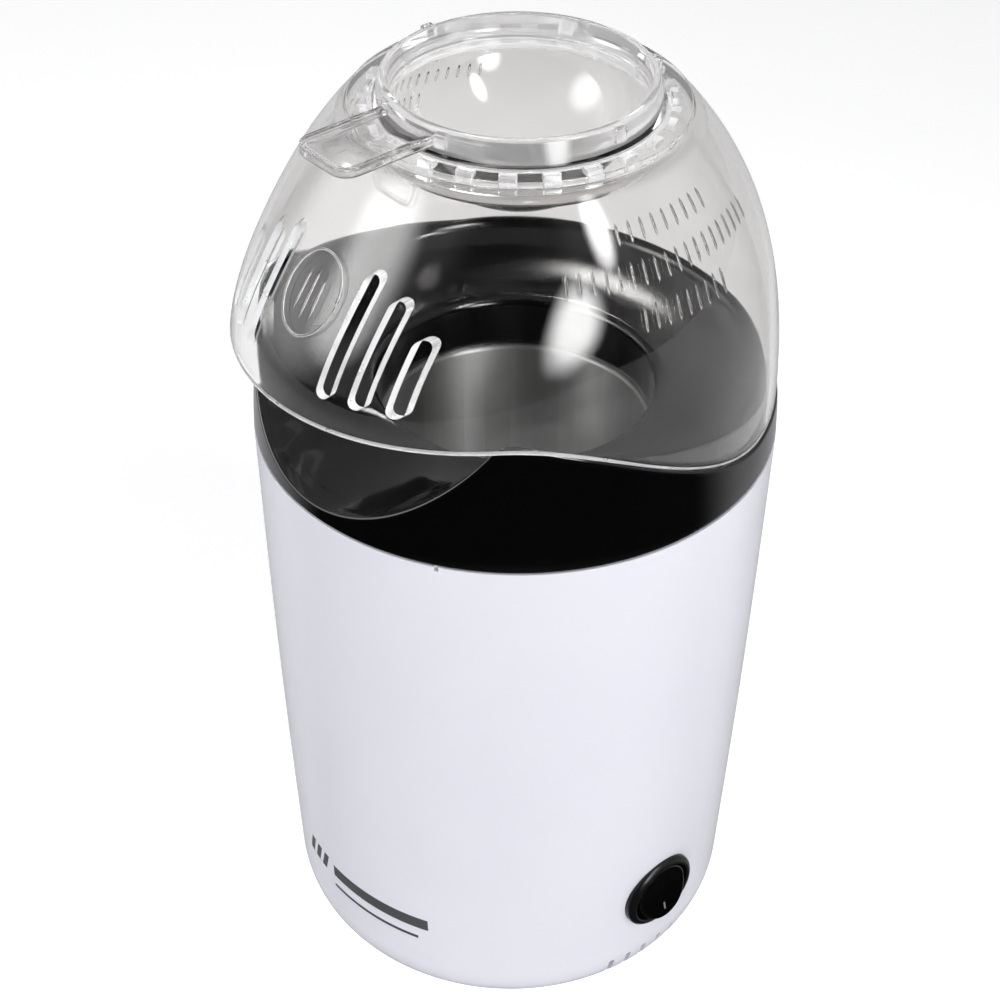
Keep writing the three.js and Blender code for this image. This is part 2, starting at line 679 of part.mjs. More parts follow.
function poppingChamber() {
  const outer = CHAMBER_RADIUS + CHAMBER_WALL;
  const flangeTop = NECK_BOTTOM - GAP;
  const wallTop = flangeTop - CHAMBER_WALL;
  const corner = CHAMBER_CORNER;
  const peak = CHAMBER_FLOOR + CHAMBER_CONE_RISE;
  const profile = [
    [0, peak - CHAMBER_WALL], [10, CHAMBER_FLOOR + 3], [22, CHAMBER_FLOOR],
    [outer - corner, CHAMBER_FLOOR], [outer - 1.8, CHAMBER_FLOOR + 1.8], [outer, CHAMBER_FLOOR + corner],
    [outer, wallTop], [CHAMBER_FLANGE_RADIUS, wallTop], [CHAMBER_FLANGE_RADIUS, flangeTop],
    [CHAMBER_RADIUS, flangeTop], [CHAMBER_RADIUS, CHAMBER_FLOOR + corner],
    [CHAMBER_RADIUS - 1.6, CHAMBER_FLOOR + 2.6], [CHAMBER_RADIUS - corner, CHAMBER_FLOOR + CHAMBER_WALL],
    [22, CHAMBER_FLOOR + CHAMBER_WALL], [10, CHAMBER_FLOOR + 4], [0, peak],
  ];
  return cut(turned(profile, MEDIUM_SEGMENTS), ...around(LOUVRE_COUNT).map(louvre));
}

function chamberClamp() {
  const bottom = CLAMP_TOP - CLAMP_THICKNESS;
  const ring = tube(CHAMBER_RADIUS + CHAMBER_WALL + GAP, 51, bottom, CLAMP_TOP, MEDIUM_SEGMENTS);
  const holes = CLAMP_BEARINGS.map((bearing) => {
    return rodOnCircle(CLAMP_CIRCLE, bearing, SCREW_CLEARANCE, bottom - 1, CLAMP_TOP + 1);
  });
  return cut(ring, ...holes);
}

function clampScrew(bearing) {
  const headHeight = 1.04;
  const head = CLAMP_TOP - CLAMP_THICKNESS - GAP - headHeight;
  return facing(panScrew(1.3, 9, 2.4, headHeight).translate(0, -CLAMP_CIRCLE, head), bearing);
}

function airJacket() {
  const screwSpace = CLAMP_BEARINGS.map((bearing) => {
    return rodOnCircle(CLAMP_CIRCLE, bearing, 3, JACKET_TOP - 10, JACKET_TOP + 10);
  });
  const inner = JACKET_RADIUS - JACKET_WALL;
  const brim = JACKET_RADIUS + 4.4;
  const brimTop = JACKET_BOTTOM + JACKET_WALL;
  const chamberFit = CHAMBER_RADIUS + CHAMBER_WALL + GAP;
  const sleeve = turned([
    [inner, JACKET_BOTTOM], [brim, JACKET_BOTTOM], [brim, brimTop], [JACKET_RADIUS, brimTop],
    [JACKET_RADIUS, JACKET_TOP], [chamberFit, JACKET_TOP], [chamberFit, JACKET_TOP - JACKET_WALL],
    [inner, JACKET_TOP - JACKET_WALL],
  ], MEDIUM_SEGMENTS);
  return cut(sleeve, ...screwSpace);
}

// A mica board with notches in its ends for the turns of wire, and a half-depth slit for its crossed mate.
function micaBoard(slitUp) {
  const half = BOARD_THICKNESS / 2;
  const board = block([-BOARD_REACH, BOARD_REACH], [-half, half], [BOARD_BOTTOM, BOARD_TOP]);
  const middle = (BOARD_BOTTOM + BOARD_TOP) / 2;
  const slitRange = slitUp ? [middle - GAP / 2, BOARD_TOP + 1] : [BOARD_BOTTOM - 1, middle + GAP / 2];
  const slit = block([-half - GAP, half + GAP], [-2, 2], slitRange);
  const notch = [1, -1].map((side) => {
    const edges = [side * (COIL_RADIUS - 2), side * (COIL_RADIUS + 2)].sort((a, b) => a - b);
    return block(edges, [-2, 2], [BOARD_BOTTOM + 1, BOARD_TOP - 1]);
  });
  return cut(board, slit, ...notch);
}

class HelixCurve extends THREE.Curve {
  getPoint(t, target = new THREE.Vector3()) {
    const height = BOARD_BOTTOM + 2 + (BOARD_TOP - BOARD_BOTTOM - 4) * t;
    return target.copy(atBearing(20 + 360 * COIL_TURNS * t, COIL_RADIUS, height));
  }
}

function sweptRound(curve, radius, steps, sides = 8) {
  const section = new THREE.Shape();
  section.absarc(0, 0, radius, 0, 2 * Math.PI, false);
  return new THREE.ExtrudeGeometry(section, {
    steps, extrudePath: curve, bevelEnabled: false, curveSegments: sides / 2,
  });
}

function heaterCoil() {
  return sweptRound(new HelixCurve(), COIL_WIRE, 16 * COIL_TURNS, 6);
}

function thermostat() {
  const body = turned([[0, 0], [7, 0], [7, 5.5], [5.6, 6.4], [0, 6.4]], 16);
  const tabs = block([-4.4, -2.4], [-0.4, 0.4], [6, 11]);
  const otherTab = block([2.4, 4.4], [-0.4, 0.4], [6, 11]);
  return joined(body, tabs, otherTab)
    .rotateX(Math.PI / 2)
    .rotateZ(Math.PI / 2)
    .translate(JACKET_RADIUS + 1, 0, 122);
}

function thermalFuse() {
  const profile = [[0, -6.5], [0.6, -6.5], [0.6, -5], [2, -4.4], [2, 4.4], [0.6, 5], [0.6, 6.5], [0, 6.5]];
  return turned(profile, 10)
    .rotateX(Math.PI / 2)
    .translate(JACKET_RADIUS + 3.2, 0, 142);
}

// ---------------------------------------------------------------- air guide, fan and motor

function airGuide() {
  const inner = GUIDE_RADIUS - GUIDE_WALL;
  const flangeBottom = GUIDE_SHELF + GAP;
  const flangeTop = flangeBottom + GUIDE_WALL;
  const seatRadius = 54;          // the raised seat that the air jacket's brim stands on
  const seatTop = JACKET_BOTTOM - GAP;
  const duct = turned([
    [inner, GUIDE_BOTTOM], [GUIDE_RADIUS, GUIDE_BOTTOM], [GUIDE_RADIUS, flangeBottom],
    [GUIDE_FLANGE_RADIUS, flangeBottom], [GUIDE_FLANGE_RADIUS, flangeTop],
    [seatRadius, flangeTop], [seatRadius, seatTop], [inner, seatTop],
  ], MEDIUM_SEGMENTS);
  const hub = tube(5.4, MOTOR_RADIUS + 1, GUIDE_BOTTOM, SPIDER_TOP, 16);
  const intoDuct = -inner - 0.5;  // arms and vanes run this far into the duct's wall
  const arms = around(SPIDER_ARMS).map((bearing) => {
    return facing(block([-4, 4], [intoDuct, -MOTOR_RADIUS + 2], [GUIDE_BOTTOM, SPIDER_TOP]), bearing + 30);
  });
  const vaneBottom = FAN_BASE + FAN_HEIGHT + 4;
  const vanes = around(VANE_COUNT).map((bearing) => {
    return facing(block([-0.8, 0.8], [intoDuct, -inner + 9], [vaneBottom, GUIDE_TOP]), bearing);
  });
  const screwHoles = MOTOR_SCREW_PLACES.map((x) => {
    return rod(1.5, GUIDE_BOTTOM - 1, SPIDER_TOP + 1).translate(x, 0, 0);
  });
  const leadNotch = block([seatRadius, FAR], [-6, 6], [GUIDE_SHELF - 5, FAR]);
  return cut(joined(duct, hub, ...arms, ...vanes), ...screwHoles, leadNotch);
}

function fanBlade(bearing) {
  const blade = block([-0.7, 0.7], [-FAN_RADIUS, -7], [-8, 8]).rotateY(radians(BLADE_LEAN));
  const slice = block([-12, 12], [-FAN_RADIUS - 1, 0], [-FAN_HEIGHT / 2 + 1, FAN_HEIGHT / 2 - 1]);
  return facing(common(blade, slice), bearing);
}

function fanWheel() {
  const middle = FAN_BASE + FAN_HEIGHT / 2;
  const blades = around(FAN_BLADES).map(fanBlade);
  const half = FAN_HEIGHT / 2;
  const hub = turned([
    [SHAFT_RADIUS + GAP, -half], [9, -half], [9.6, half - 3], [6, half], [SHAFT_RADIUS + GAP, half],
  ], 16);
  return joined(hub, ...blades).translate(0, 0, middle);
}

function motorShaft() {
  const top = FAN_BASE + FAN_HEIGHT + 1.8;
  const bevel = 0.4;
  return turned([
    [0, SHAFT_BOTTOM], [SHAFT_RADIUS, SHAFT_BOTTOM], [SHAFT_RADIUS, top - bevel],
    [SHAFT_RADIUS - bevel, top], [0, top],
  ], 12);
}

function motorCan() {
  const bore = SHAFT_RADIUS + GAP;
  const profile = [
    [bore, MOTOR_BOTTOM], [MOTOR_RADIUS, MOTOR_BOTTOM], [MOTOR_RADIUS, MOTOR_TOP - 1.2],
    [MOTOR_RADIUS - 1.2, MOTOR_TOP], [4.8, MOTOR_TOP], [4.8, MOTOR_TOP + 2.6], [bore, MOTOR_TOP + 2.6],
  ];
  const bores = MOTOR_SCREW_PLACES.map((x) => rod(1.3, MOTOR_TOP - 5, MOTOR_TOP + 3).translate(x, 0, 0));
  return cut(turned(profile, 24), ...bores);
}

function motorEndCap() {
  const top = MOTOR_BOTTOM - GAP;
  const cap = turned([
    [SHAFT_RADIUS + GAP, top - 4.5], [6, top - 4.5], [6, top - 3], [12.4, top - 3],
    [MOTOR_RADIUS - 0.2, top - 1.6], [MOTOR_RADIUS - 0.2, top], [SHAFT_RADIUS + GAP, top],
  ], 20);
  const lugs = [-1, 1].map((side) => {
    const edges = [side * 9.4, side * 10].sort((a, b) => a - b);
    return block(edges, [-1.2, 1.2], [top - 6.2, top - 2.5]);
  });
  return joined(cap, ...lugs);
}

function motorScrew(x) {
  return panScrew(1, 4.5, 2.1, 0.9).rotateX(Math.PI).translate(x, 0, SPIDER_TOP + GAP + 0.9);
}

function rectifierBoard() {
  const disc = tube(6.6, 12.6, RECTIFIER_TOP - RECTIFIER_THICKNESS, RECTIFIER_TOP, 20);
  const holes = [-9.7, 9.7].map((x) => block([x - 0.8, x + 0.8], [-1.8, 1.8], [0, MOTOR_BOTTOM]));
  return cut(disc, ...holes);
}

function diode(bearing) {
  const radius = 1.3;
  const half = 2.6;
  const bevel = 0.4;
  const height = RECTIFIER_TOP - RECTIFIER_THICKNESS - GAP - radius;
  const profile = [
    [0, -half], [radius - bevel, -half], [radius, bevel - half],
    [radius, half - bevel], [radius - bevel, half], [0, half],
  ];
  return facing(turned(profile, 8).rotateY(Math.PI / 2).translate(0, -9.6, height), bearing);
}

// ---------------------------------------------------------------- switch

// Moves a piece made round the +Z axis, with the wall's face at height 0, onto the switch's place.
function onSwitch(geometry) {
  return geometry.rotateY(Math.PI / 2 + WALL_TILT).translate(SWITCH_WALL, 0, SWITCH_HEIGHT);
}

function switchBezel() {
  const floor = 2.5 - SWITCH_DEPTH;
  const rise = SWITCH_FLANGE_RISE;
  const under = -3;               // the wall's own curve trims the flange's underside
  const profile = [
    [0, -SWITCH_DEPTH], [SWITCH_BARREL, -SWITCH_DEPTH], [SWITCH_BARREL, under], [SWITCH_FLANGE_RADIUS, under],
    [SWITCH_FLANGE_RADIUS, rise - 1.6], [SWITCH_FLANGE_RADIUS - 0.5, rise - 0.6],
    [SWITCH_FLANGE_RADIUS - 1.4, rise], [SWITCH_BORE + 0.4, rise], [SWITCH_BORE, rise - 0.6],
    [SWITCH_BORE, floor], [0, floor],
  ];
  const bezel = onSwitch(turned(profile, SWITCH_SEGMENTS));
  const behind = cut(housingEnvelope(GAP), throughSwitch(SWITCH_BARREL + 0.2));
  return cut(bezel, behind);
}

// The rocker's ends are arcs about its pivot, so they clear the bore as it tips.
function switchRocker() {
  const reach = SWITCH_BORE - 0.6;
  const kink = radians(8);
  const outline = new THREE.Shape();
  const faceHeight = 4.2;
  const endAngle = Math.atan2(faceHeight + Math.tan(kink) * reach, reach);
  outline.moveTo(0, faceHeight);
  outline.lineTo(-reach * Math.cos(endAngle), reach * Math.sin(endAngle));
  outline.absarc(0, 0, reach, Math.PI - endAngle, Math.PI + 0.5, false);
  outline.lineTo(-3, -7);
  outline.lineTo(3, -7);
  outline.absarc(0, 0, reach, -0.5, endAngle, false);
  outline.closePath();
  const slab = new THREE.ExtrudeGeometry(outline, { depth: 30, bevelEnabled: false, curveSegments: 4 })
    .translate(0, 0, -15)
    .rotateX(Math.PI / 2);
  const rounded = common(slab, rod(SWITCH_BORE - 1, -20, 20, SWITCH_SEGMENTS));
  rounded.rotateY(-radians(ROCKER_TILT));
  return onSwitch(rounded.translate(0, 0, SWITCH_PIVOT - SWITCH_WALL));
}

function switchTerminal(side) {
  const blade = block([side * 4 - 2.4, side * 4 + 2.4], [-0.4, 0.4], [-25, -SWITCH_DEPTH - GAP]);
  const hole = rod(0.8, -2, 2, 12).rotateX(Math.PI / 2).translate(side * 4, 0, -22.6);
  return onSwitch(cut(blade, hole));
}

// ---------------------------------------------------------------- internal leads

function lead(points, radius = 1.1) {
  const curve = new THREE.CatmullRomCurve3(points.map((point) => new THREE.Vector3(...point)));
  return sweptRound(curve, radius, 14);
}

const SWITCH_LEAD_ROUTE = [
  [1.7, 61, 22], [6, 55, 23], [24, 50, 29], [42, 33, 36], [44, 14, 40], [43.6, 4, 40.6], [41, 0, 40.6],
];
const HEATER_LEAD_ROUTE = [
  [40.4, 0, 32.6], [39, -8, 35], [46, -12, 48], [57, -5, 64], [58.6, -2, 80], [60, 1, 100], [60, 3.4, 118],
];
const FUSE_LEAD_ROUTE = [
  [59.6, -3.4, 125], [59, -8, 130], [55, -10, 136], [51.4, -9.6, 141], [50.8, -7.6, 142],
];
const MOTOR_LEAD_ROUTE = [
  [-1.7, 61, 22], [-3, 52, 20], [-2, 40, 12], [0, 28, 9], [0, 18, 8.4], [0, 14.4, 9.4],
];

// ---------------------------------------------------------------- assembly

const WHITE = plastic(0xf1f1f6, 0.25);
const BLACK_GLOSS = plastic(0x111113, 0.15);
const BLACK_SATIN = plastic(0x161617, 0.4);
const BLACK_NYLON = plastic(0x222224, 0.6);
const RUBBER = plastic(0x2b2b2d, 0.9);
const CLEAR = clear(0xe9ebee);
const ALUMINIUM = metal(0xc9cbce, 0.22);
const STEEL = metal(0xb4b6ba, 0.35);
const BRASS = metal(0xc9a24e, 0.35);
const NICHROME = metal(0x8f8d88, 0.45);
const MICA = plastic(0xb9a98a, 0.7);
const CIRCUIT_BOARD = plastic(0xb58a4a, 0.6);
const LEAD_WHITE = plastic(0xe4e2dc, 0.6);

const appliance = new THREE.Group();
appliance.position.y = AXIS_Y;

function add(name, geometry, material) {
  const mesh = new THREE.Mesh(geometry, material.clone());
  mesh.name = name;
  appliance.add(mesh);
}

add('housing', housing(), WHITE);
add('collar', collar(), BLACK_GLOSS);
add('cover', cover(), CLEAR);
add('measuring_cup', measuringCup(), CLEAR);
add('base_plate', basePlate(), WHITE);
FOOT_BEARINGS.forEach((bearing, index) => add(`foot_${index + 1}`, foot(bearing), RUBBER));
SCREW_BEARINGS.forEach((bearing, index) => add(`base_screw_${index + 1}`, baseScrew(bearing), STEEL));
add('cord_gland', cordGland(), BLACK_SATIN);

add('popping_chamber', poppingChamber(), ALUMINIUM);
add('chamber_clamp', chamberClamp(), STEEL);
CLAMP_BEARINGS.forEach((bearing, index) => add(`clamp_screw_${index + 1}`, clampScrew(bearing), STEEL));
add('air_jacket', airJacket(), STEEL);
add('mica_board_a', micaBoard(true), MICA);
add('mica_board_b', micaBoard(false).rotateZ(Math.PI / 2), MICA);
add('heater_coil', heaterCoil(), NICHROME);
add('thermostat', thermostat(), BLACK_SATIN);
add('thermal_fuse', thermalFuse(), BRASS);

add('air_guide', airGuide(), BLACK_NYLON);
add('fan_wheel', fanWheel(), BLACK_NYLON);
add('motor_shaft', motorShaft(), STEEL);
add('motor_can', motorCan(), STEEL);
add('motor_end_cap', motorEndCap(), BLACK_NYLON);
MOTOR_SCREW_PLACES.forEach((x, index) => add(`motor_screw_${index + 1}`, motorScrew(x), STEEL));
add('rectifier_board', rectifierBoard(), CIRCUIT_BOARD);
DIODE_BEARINGS.forEach((bearing, index) => add(`diode_${index + 1}`, diode(bearing), BLACK_SATIN));

add('switch_bezel', switchBezel(), BLACK_SATIN);
add('switch_rocker', switchRocker(), BLACK_GLOSS);
add('switch_terminal_1', switchTerminal(-1), BRASS);
add('switch_terminal_2', switchTerminal(1), BRASS);
add('lead_gland_to_switch', lead(SWITCH_LEAD_ROUTE), LEAD_WHITE);
add('lead_switch_to_thermostat', lead(HEATER_LEAD_ROUTE), LEAD_WHITE);
add('lead_thermostat_to_fuse', lead(FUSE_LEAD_ROUTE), LEAD_WHITE);
add('lead_gland_to_motor', lead(MOTOR_LEAD_ROUTE), LEAD_WHITE);

export default appliance;
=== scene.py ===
"""Hot-air popcorn maker: its looks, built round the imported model.

The formulas are in millimetres. A bearing is an angle round the body's axis, in degrees, from the chute (-Y)
towards the switch (+X). at() turns a bearing, a radius and a height into a point in metres.
"""

import math

import bmesh
import bpy
from mathutils import Matrix, Vector


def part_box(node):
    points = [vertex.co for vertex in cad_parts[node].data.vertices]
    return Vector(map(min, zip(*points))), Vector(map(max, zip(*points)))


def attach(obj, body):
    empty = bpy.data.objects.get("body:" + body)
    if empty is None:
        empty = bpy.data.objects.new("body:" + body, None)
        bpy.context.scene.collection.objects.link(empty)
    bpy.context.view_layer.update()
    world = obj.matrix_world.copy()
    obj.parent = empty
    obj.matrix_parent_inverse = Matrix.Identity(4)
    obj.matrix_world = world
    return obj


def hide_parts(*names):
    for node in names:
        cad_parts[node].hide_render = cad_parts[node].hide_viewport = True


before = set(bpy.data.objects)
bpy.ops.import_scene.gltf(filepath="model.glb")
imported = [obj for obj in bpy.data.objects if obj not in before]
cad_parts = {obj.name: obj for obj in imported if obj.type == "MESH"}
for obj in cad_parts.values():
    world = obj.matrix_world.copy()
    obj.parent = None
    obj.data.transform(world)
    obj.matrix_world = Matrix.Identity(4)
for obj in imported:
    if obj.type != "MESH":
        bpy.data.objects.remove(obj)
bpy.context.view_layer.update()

# ---- driving dimensions

MM = 0.001
GAP = 0.3                       # clearance between neighbouring pieces
ROUND = 240                     # steps round a large turned piece
FINE_ROUND = 720                # steps round the collar and the cover

housing_low, housing_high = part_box("housing")
AXIS = Vector((0, (housing_low.y + housing_high.y) / 2, 0))
TOTAL_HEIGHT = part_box("measuring_cup")[1].z / MM
HOUSING_BOTTOM = housing_low.z / MM
HOUSING_TOP = housing_high.z / MM
HOUSING_BOTTOM_RADIUS = 59.2
HOUSING_SHOULDER_RADIUS = 67.5
HOUSING_SHOULDER_HEIGHT = 15.8
HOUSING_TOP_RADIUS = 72.3
HOUSING_WALL = 2.2
HOUSING_BELLY = 0.6
VENT_COUNT = 6
VENT_HALF_SPREAD = 13           # degrees either side of the switch
VENT_WIDTH = 2
VENT_BOTTOM = 3.4
VENT_TOP = 12.5
VENT_OUTER = 80                 # the vents' cutters run between these two, from the axis
VENT_INNER = 54
TICK_BEARING = 33               # a small notch in the housing's top edge
TICK_WIDTH = 1.2
TICK_DEPTH = 1.3
TICK_INWARD = 0.9

DOME_RADIUS = 71.3
DOME_BASE = 170
DOME_HEIGHT = 131
DOME_POWER = 3.35
DOME_ROOT = 1.2
COVER_WALL = 2
COVER_TOP = 272
COVER_OPENING = 35.6
RIM_HIGH = 216
RIM_LOW = 190
HOOD_REACH = 10.2
HOOD_HALF_ANGLE = 75
HOOD_FADE_HEIGHT = 262
SLOT_OFFSETS = (15, 23.8, 32.7)
SLOT_TOPS = (252, 248.5, 242)
SLOT_BOTTOM = 224
SLOT_WIDTH = 4.2
CROWN_INNER = 38.2
CROWN_OUTER = 43.4
CROWN_RISE = 1.6
CROWN_DEPTH = 3.5               # how far below the top the ring's hazier plastic reaches
RECESS_COUNT = 24
RECESS_WIDTH = 4.4
RECESS_INNER = 37.8
RECESS_OUTER = 40.6
RECESS_FLOOR = COVER_TOP - 2.1
RIB_RADIUS = 0.4
SIDE_RIB_ROWS = (               # low, high, half spread in degrees, count
    (259.8, 264.4, 15, 9),
    (250.6, 256.4, 30, 19),
    (240.4, 247, 12, 9),
)
HOOD_MARK_HEIGHT = 243
HOOD_MARK_RADIUS = 9

MOUTH_RADIUS = 38
MOUTH_HEIGHT = 190
MOUTH_CURL = 3
NECK_BOTTOM = 174
DISH_RADIUS = 65.6
DISH_RISE = 7
DISH_FILLET = 4
COLLAR_WALL = 2.2
COLLAR_BOTTOM = HOUSING_TOP + GAP
SKIRT_RADIUS = HOUSING_TOP_RADIUS - HOUSING_WALL - GAP
SKIRT_WALL = 1.6
SKIRT_BOTTOM = 170
LIP_HIGH = 213
LIP_LOW = 198
LIP_CLEARANCE = 0.5
CHUTE_RADIUS = 58
CHUTE_LIP_HEIGHT = 182
CHUTE_SLOPE = math.radians(13.6)

CUP_RIM_RADIUS = 35
CUP_WALL = 1.8
CUP_SEAT_HEIGHT = 272.8
CUP_SEAT_WIDTH = 2
CUP_DEPTH = 33
HANDLE_LENGTH = 62.6
HANDLE_WIDTH = 20
HANDLE_TOP = TOTAL_HEIGHT - 1
HANDLE_DEPTH = 3
HANDLE_WALL = 1.6
HANDLE_CORNER = 5.5
LUG_BEARINGS = (18, 90, 156, 270, 342)
LUG_WIDTH = 3.4
LUG_HEIGHT = 3.6
LUG_REACH = 37.2

CHAMBER_RADIUS = 37
CHAMBER_WALL = 0.9
CHAMBER_FLOOR = 100
CHAMBER_CORNER = 6
CHAMBER_CONE_RISE = 8
CHAMBER_CONE_RADIUS = 22
CHAMBER_WAIST_RADIUS = 10       # where the cone grows steeper
CHAMBER_WAIST_RISE = 3
CHAMBER_FLANGE_RADIUS = 41.5
LOUVRE_COUNT = 16
LOUVRE_WIDTH = 1.8
LOUVRE_LENGTH = 10
LOUVRE_LEAN = math.radians(35)
LOUVRE_HEIGHT = 11

BASE_OPENING_RADIUS = 57
BASE_BOTTOM = 2
BASE_TOP = 4.4
BASE_CENTRE_HOLE = 4
BASE_SLOT_COUNT = 12
BASE_SLOT_WIDTH = 4
BASE_SLOT_INNER = 20
BASE_SLOT_OUTER = 38
FOOT_CIRCLE = 46
FOOT_BEARINGS = (45, 135, 225, 315)
FOOT_RADIUS = 6
FOOT_STEM_RADIUS = 2.7
FOOT_TOP = 6.2
SCREW_CIRCLE = 49
SCREW_BEARINGS = (0, 120, 240)
SCREW_HEAD_BOTTOM = 0.5
SCREW_HEAD_RADIUS = 3
SCREW_HEAD_HEIGHT = 1.2
SCREW_RADIUS = 1.5
SCREW_LENGTH = 19.6
SCREW_POINT = 1.4
SCREW_SLOT_LENGTH = 3.3
SCREW_SLOT_WIDTH = 0.72
SCREW_SLOT_DEPTH = 0.54
GLAND_HEIGHT = 22
GLAND_BORE = 3.4
GLAND_RADIUS = 4.7
GLAND_FLANGE_RADIUS = 6.2
GLAND_INNER_END = 62            # from the axis, along the gland
GLAND_OUTER_END = 70.2

SWITCH_HEIGHT = 36.5
SWITCH_FLANGE_RADIUS = 12.7
SWITCH_BORE = 10.3
SWITCH_BARREL = SWITCH_BORE + 0.7
SWITCH_DEPTH = 16
SWITCH_FLOOR = 2.5
SWITCH_FLANGE_RISE = 1.9
SWITCH_FLANGE_DROP = 2.5
ROCKER_TILT = math.radians(9)
ROCKER_KINK = math.radians(8)
ROCKER_FACE = 4.2
ROCKER_RADIUS = SWITCH_BORE - 1
ROCKER_EDGE = 0.6
ROCKER_END_RADIUS = 0.8 * ROCKER_RADIUS
ROCKER_BOTTOM = -5
ROCKER_BAR = (4.2, 6.6, -0.3, 0.3)

PRINT_LOW = -0.02               # a printed mark's underside and top, from the surface it is on
PRINT_HIGH = 0.05
STROKE_STARTS = (-19, -14.8, -10.6)     # along the housing's surface from the front
STROKE_WIDTH = 2.4
STROKE_HEIGHTS = (29.5, 36.5)
STROKE_SLANT = 2.2
BAR_SPAN = (-3.5, 33.5, 30.6, 35.2)     # left, right, low, high
LINE_SPAN = (-3.5, 30, 25.6, 26.8)

# The camera stands at this place from the body's axis, in millimetres: to its right, behind it and up.
CAMERA_AZIMUTH = math.radians(49)
CAMERA_PITCH = math.radians(38.54)
CAMERA_ROLL = math.radians(0.525)
CAMERA_RIGHT = -3.95
CAMERA_BACK = 461.05
CAMERA_UP = 512.05
CAMERA_LENS = 73.6

SKY_LEVEL = 0.3
SKY_GROUND = 0.4
SKY_COLOUR = (0.97, 0.975, 1.0, 1)
BACKDROP_COLOUR = (0.708, 0.71, 0.715, 1)
FLAG_LEVEL = 0.03
FLAGS = (                       # bearing, elevation, radius of the core and of the edge, in degrees
    (208, 58, 14, 24),
    (46, 35, 16, 30),
    (46, -36, 68, 88),
)
LAMPS = (                       # name, bearing, elevation, distance, width and height in metres, radiance
    ("left", 310, 18, 1.2, (1.6, 1.1), 1.15),
    ("left_lamp", 336, 30, 1.1, (0.8, 0.85), 4.3),
    ("right_window", 77, 17, 1.0, (0.46, 0.56), 11),
    ("right_lamp", 95, 39, 1.1, (0.26, 0.6), 16),
    ("back_strip", 238, 54, 1.1, (0.16, 0.40), 13),
)
LAMP_MIDDLE = (0.5, 0.5, 0)     # in a lamp's own 0 to 1 coordinates
LAMP_CORE = 0.12
LAMP_EDGE = 0.5
FLOOR_REACH = 3000
GLASS_BOUNCES = 28              # light turns many times inside the clear rims

# ---- places and curves


def at(bearing, radius, height):
    angle = math.radians(bearing)
    return AXIS + Vector((radius * math.sin(angle), -radius * math.cos(angle), height)) * MM


def smoothstep(low, high, value):
    t = min(1, max(0, (value - low) / (high - low)))
    return t * t * (3 - 2 * t)


def soft_least(a, b, width):
    """The smaller of two numbers, rounded over where they meet."""
    low = min(a, b)
    return low - width * math.log1p(math.exp(-abs(a - b) / width))


def between(low, high, steps):
    return [low + (high - low) * i / steps for i in range(steps + 1)]


def around(count):
    return [360 * i / count for i in range(count)]


def arc(x, y, radius, start, end, steps):
    """Points of an arc round (x, y), between two angles in degrees."""
    angles = [math.radians(angle) for angle in between(start, end, steps)]
    return [(x + radius * math.cos(a), y + radius * math.sin(a)) for a in angles]


def side_bearing(bearing):
    """A bearing folded to 0..180: the body is the same on both sides of the chute."""
    bearing = bearing % 360
    return 360 - bearing if bearing > 180 else bearing


def dome_radius(height):
    fall = (max(0, height - DOME_BASE) / DOME_HEIGHT) ** DOME_POWER
    return DOME_RADIUS * (1 - fall) ** (1 / DOME_ROOT)


def hood_flare(bearing, height):
    side = side_bearing(bearing)
    if side >= HOOD_HALF_ANGLE:
        return 0
    across = math.cos(math.radians(90 * side / HOOD_HALF_ANGLE)) ** 2
    return HOOD_REACH * across * (1 - smoothstep(RIM_HIGH, HOOD_FADE_HEIGHT, height))


def cover_radius(bearing, height):
    return dome_radius(height) + hood_flare(bearing, height)


def rim_height(bearing):
    return RIM_HIGH - (RIM_HIGH - RIM_LOW) * smoothstep(45, 115, side_bearing(bearing))


def lip_height(bearing):
    return LIP_HIGH - (LIP_HIGH - LIP_LOW) * smoothstep(40, 130, side_bearing(bearing))


def housing_radius(height):
    if height < HOUSING_SHOULDER_HEIGHT:
        t = (HOUSING_SHOULDER_HEIGHT - height) / (HOUSING_SHOULDER_HEIGHT - HOUSING_BOTTOM)
        drop = HOUSING_SHOULDER_RADIUS - HOUSING_BOTTOM_RADIUS
        return HOUSING_SHOULDER_RADIUS - drop * (1 - math.sqrt(max(0, 1 - t * t)))
    t = (height - HOUSING_SHOULDER_HEIGHT) / (HOUSING_TOP - HOUSING_SHOULDER_HEIGHT)
    taper = HOUSING_TOP_RADIUS - HOUSING_SHOULDER_RADIUS
    return HOUSING_SHOULDER_RADIUS + taper * t + HOUSING_BELLY * math.sin(math.pi * t)


def collar_radius(height):
    blend = 1 - smoothstep(HOUSING_TOP, 200, height)
    return dome_radius(height) + (HOUSING_TOP_RADIUS - 0.1 - DOME_RADIUS) * blend


def chute_floor(bearing, radius):
    """Height of the sloping half-round chute at a place, or far above everything beside it."""
    angle = math.radians(bearing)
    x = radius * math.sin(angle)
    out = radius * math.cos(angle)
    rise = (DOME_RADIUS - out) * math.tan(CHUTE_SLOPE)
    axis = CHUTE_LIP_HEIGHT + CHUTE_RADIUS / math.cos(CHUTE_SLOPE) + rise
    if abs(x) >= CHUTE_RADIUS or out <= 0:
        return axis + 40
    return axis - math.sqrt(CHUTE_RADIUS ** 2 - x * x) / math.cos(CHUTE_SLOPE)


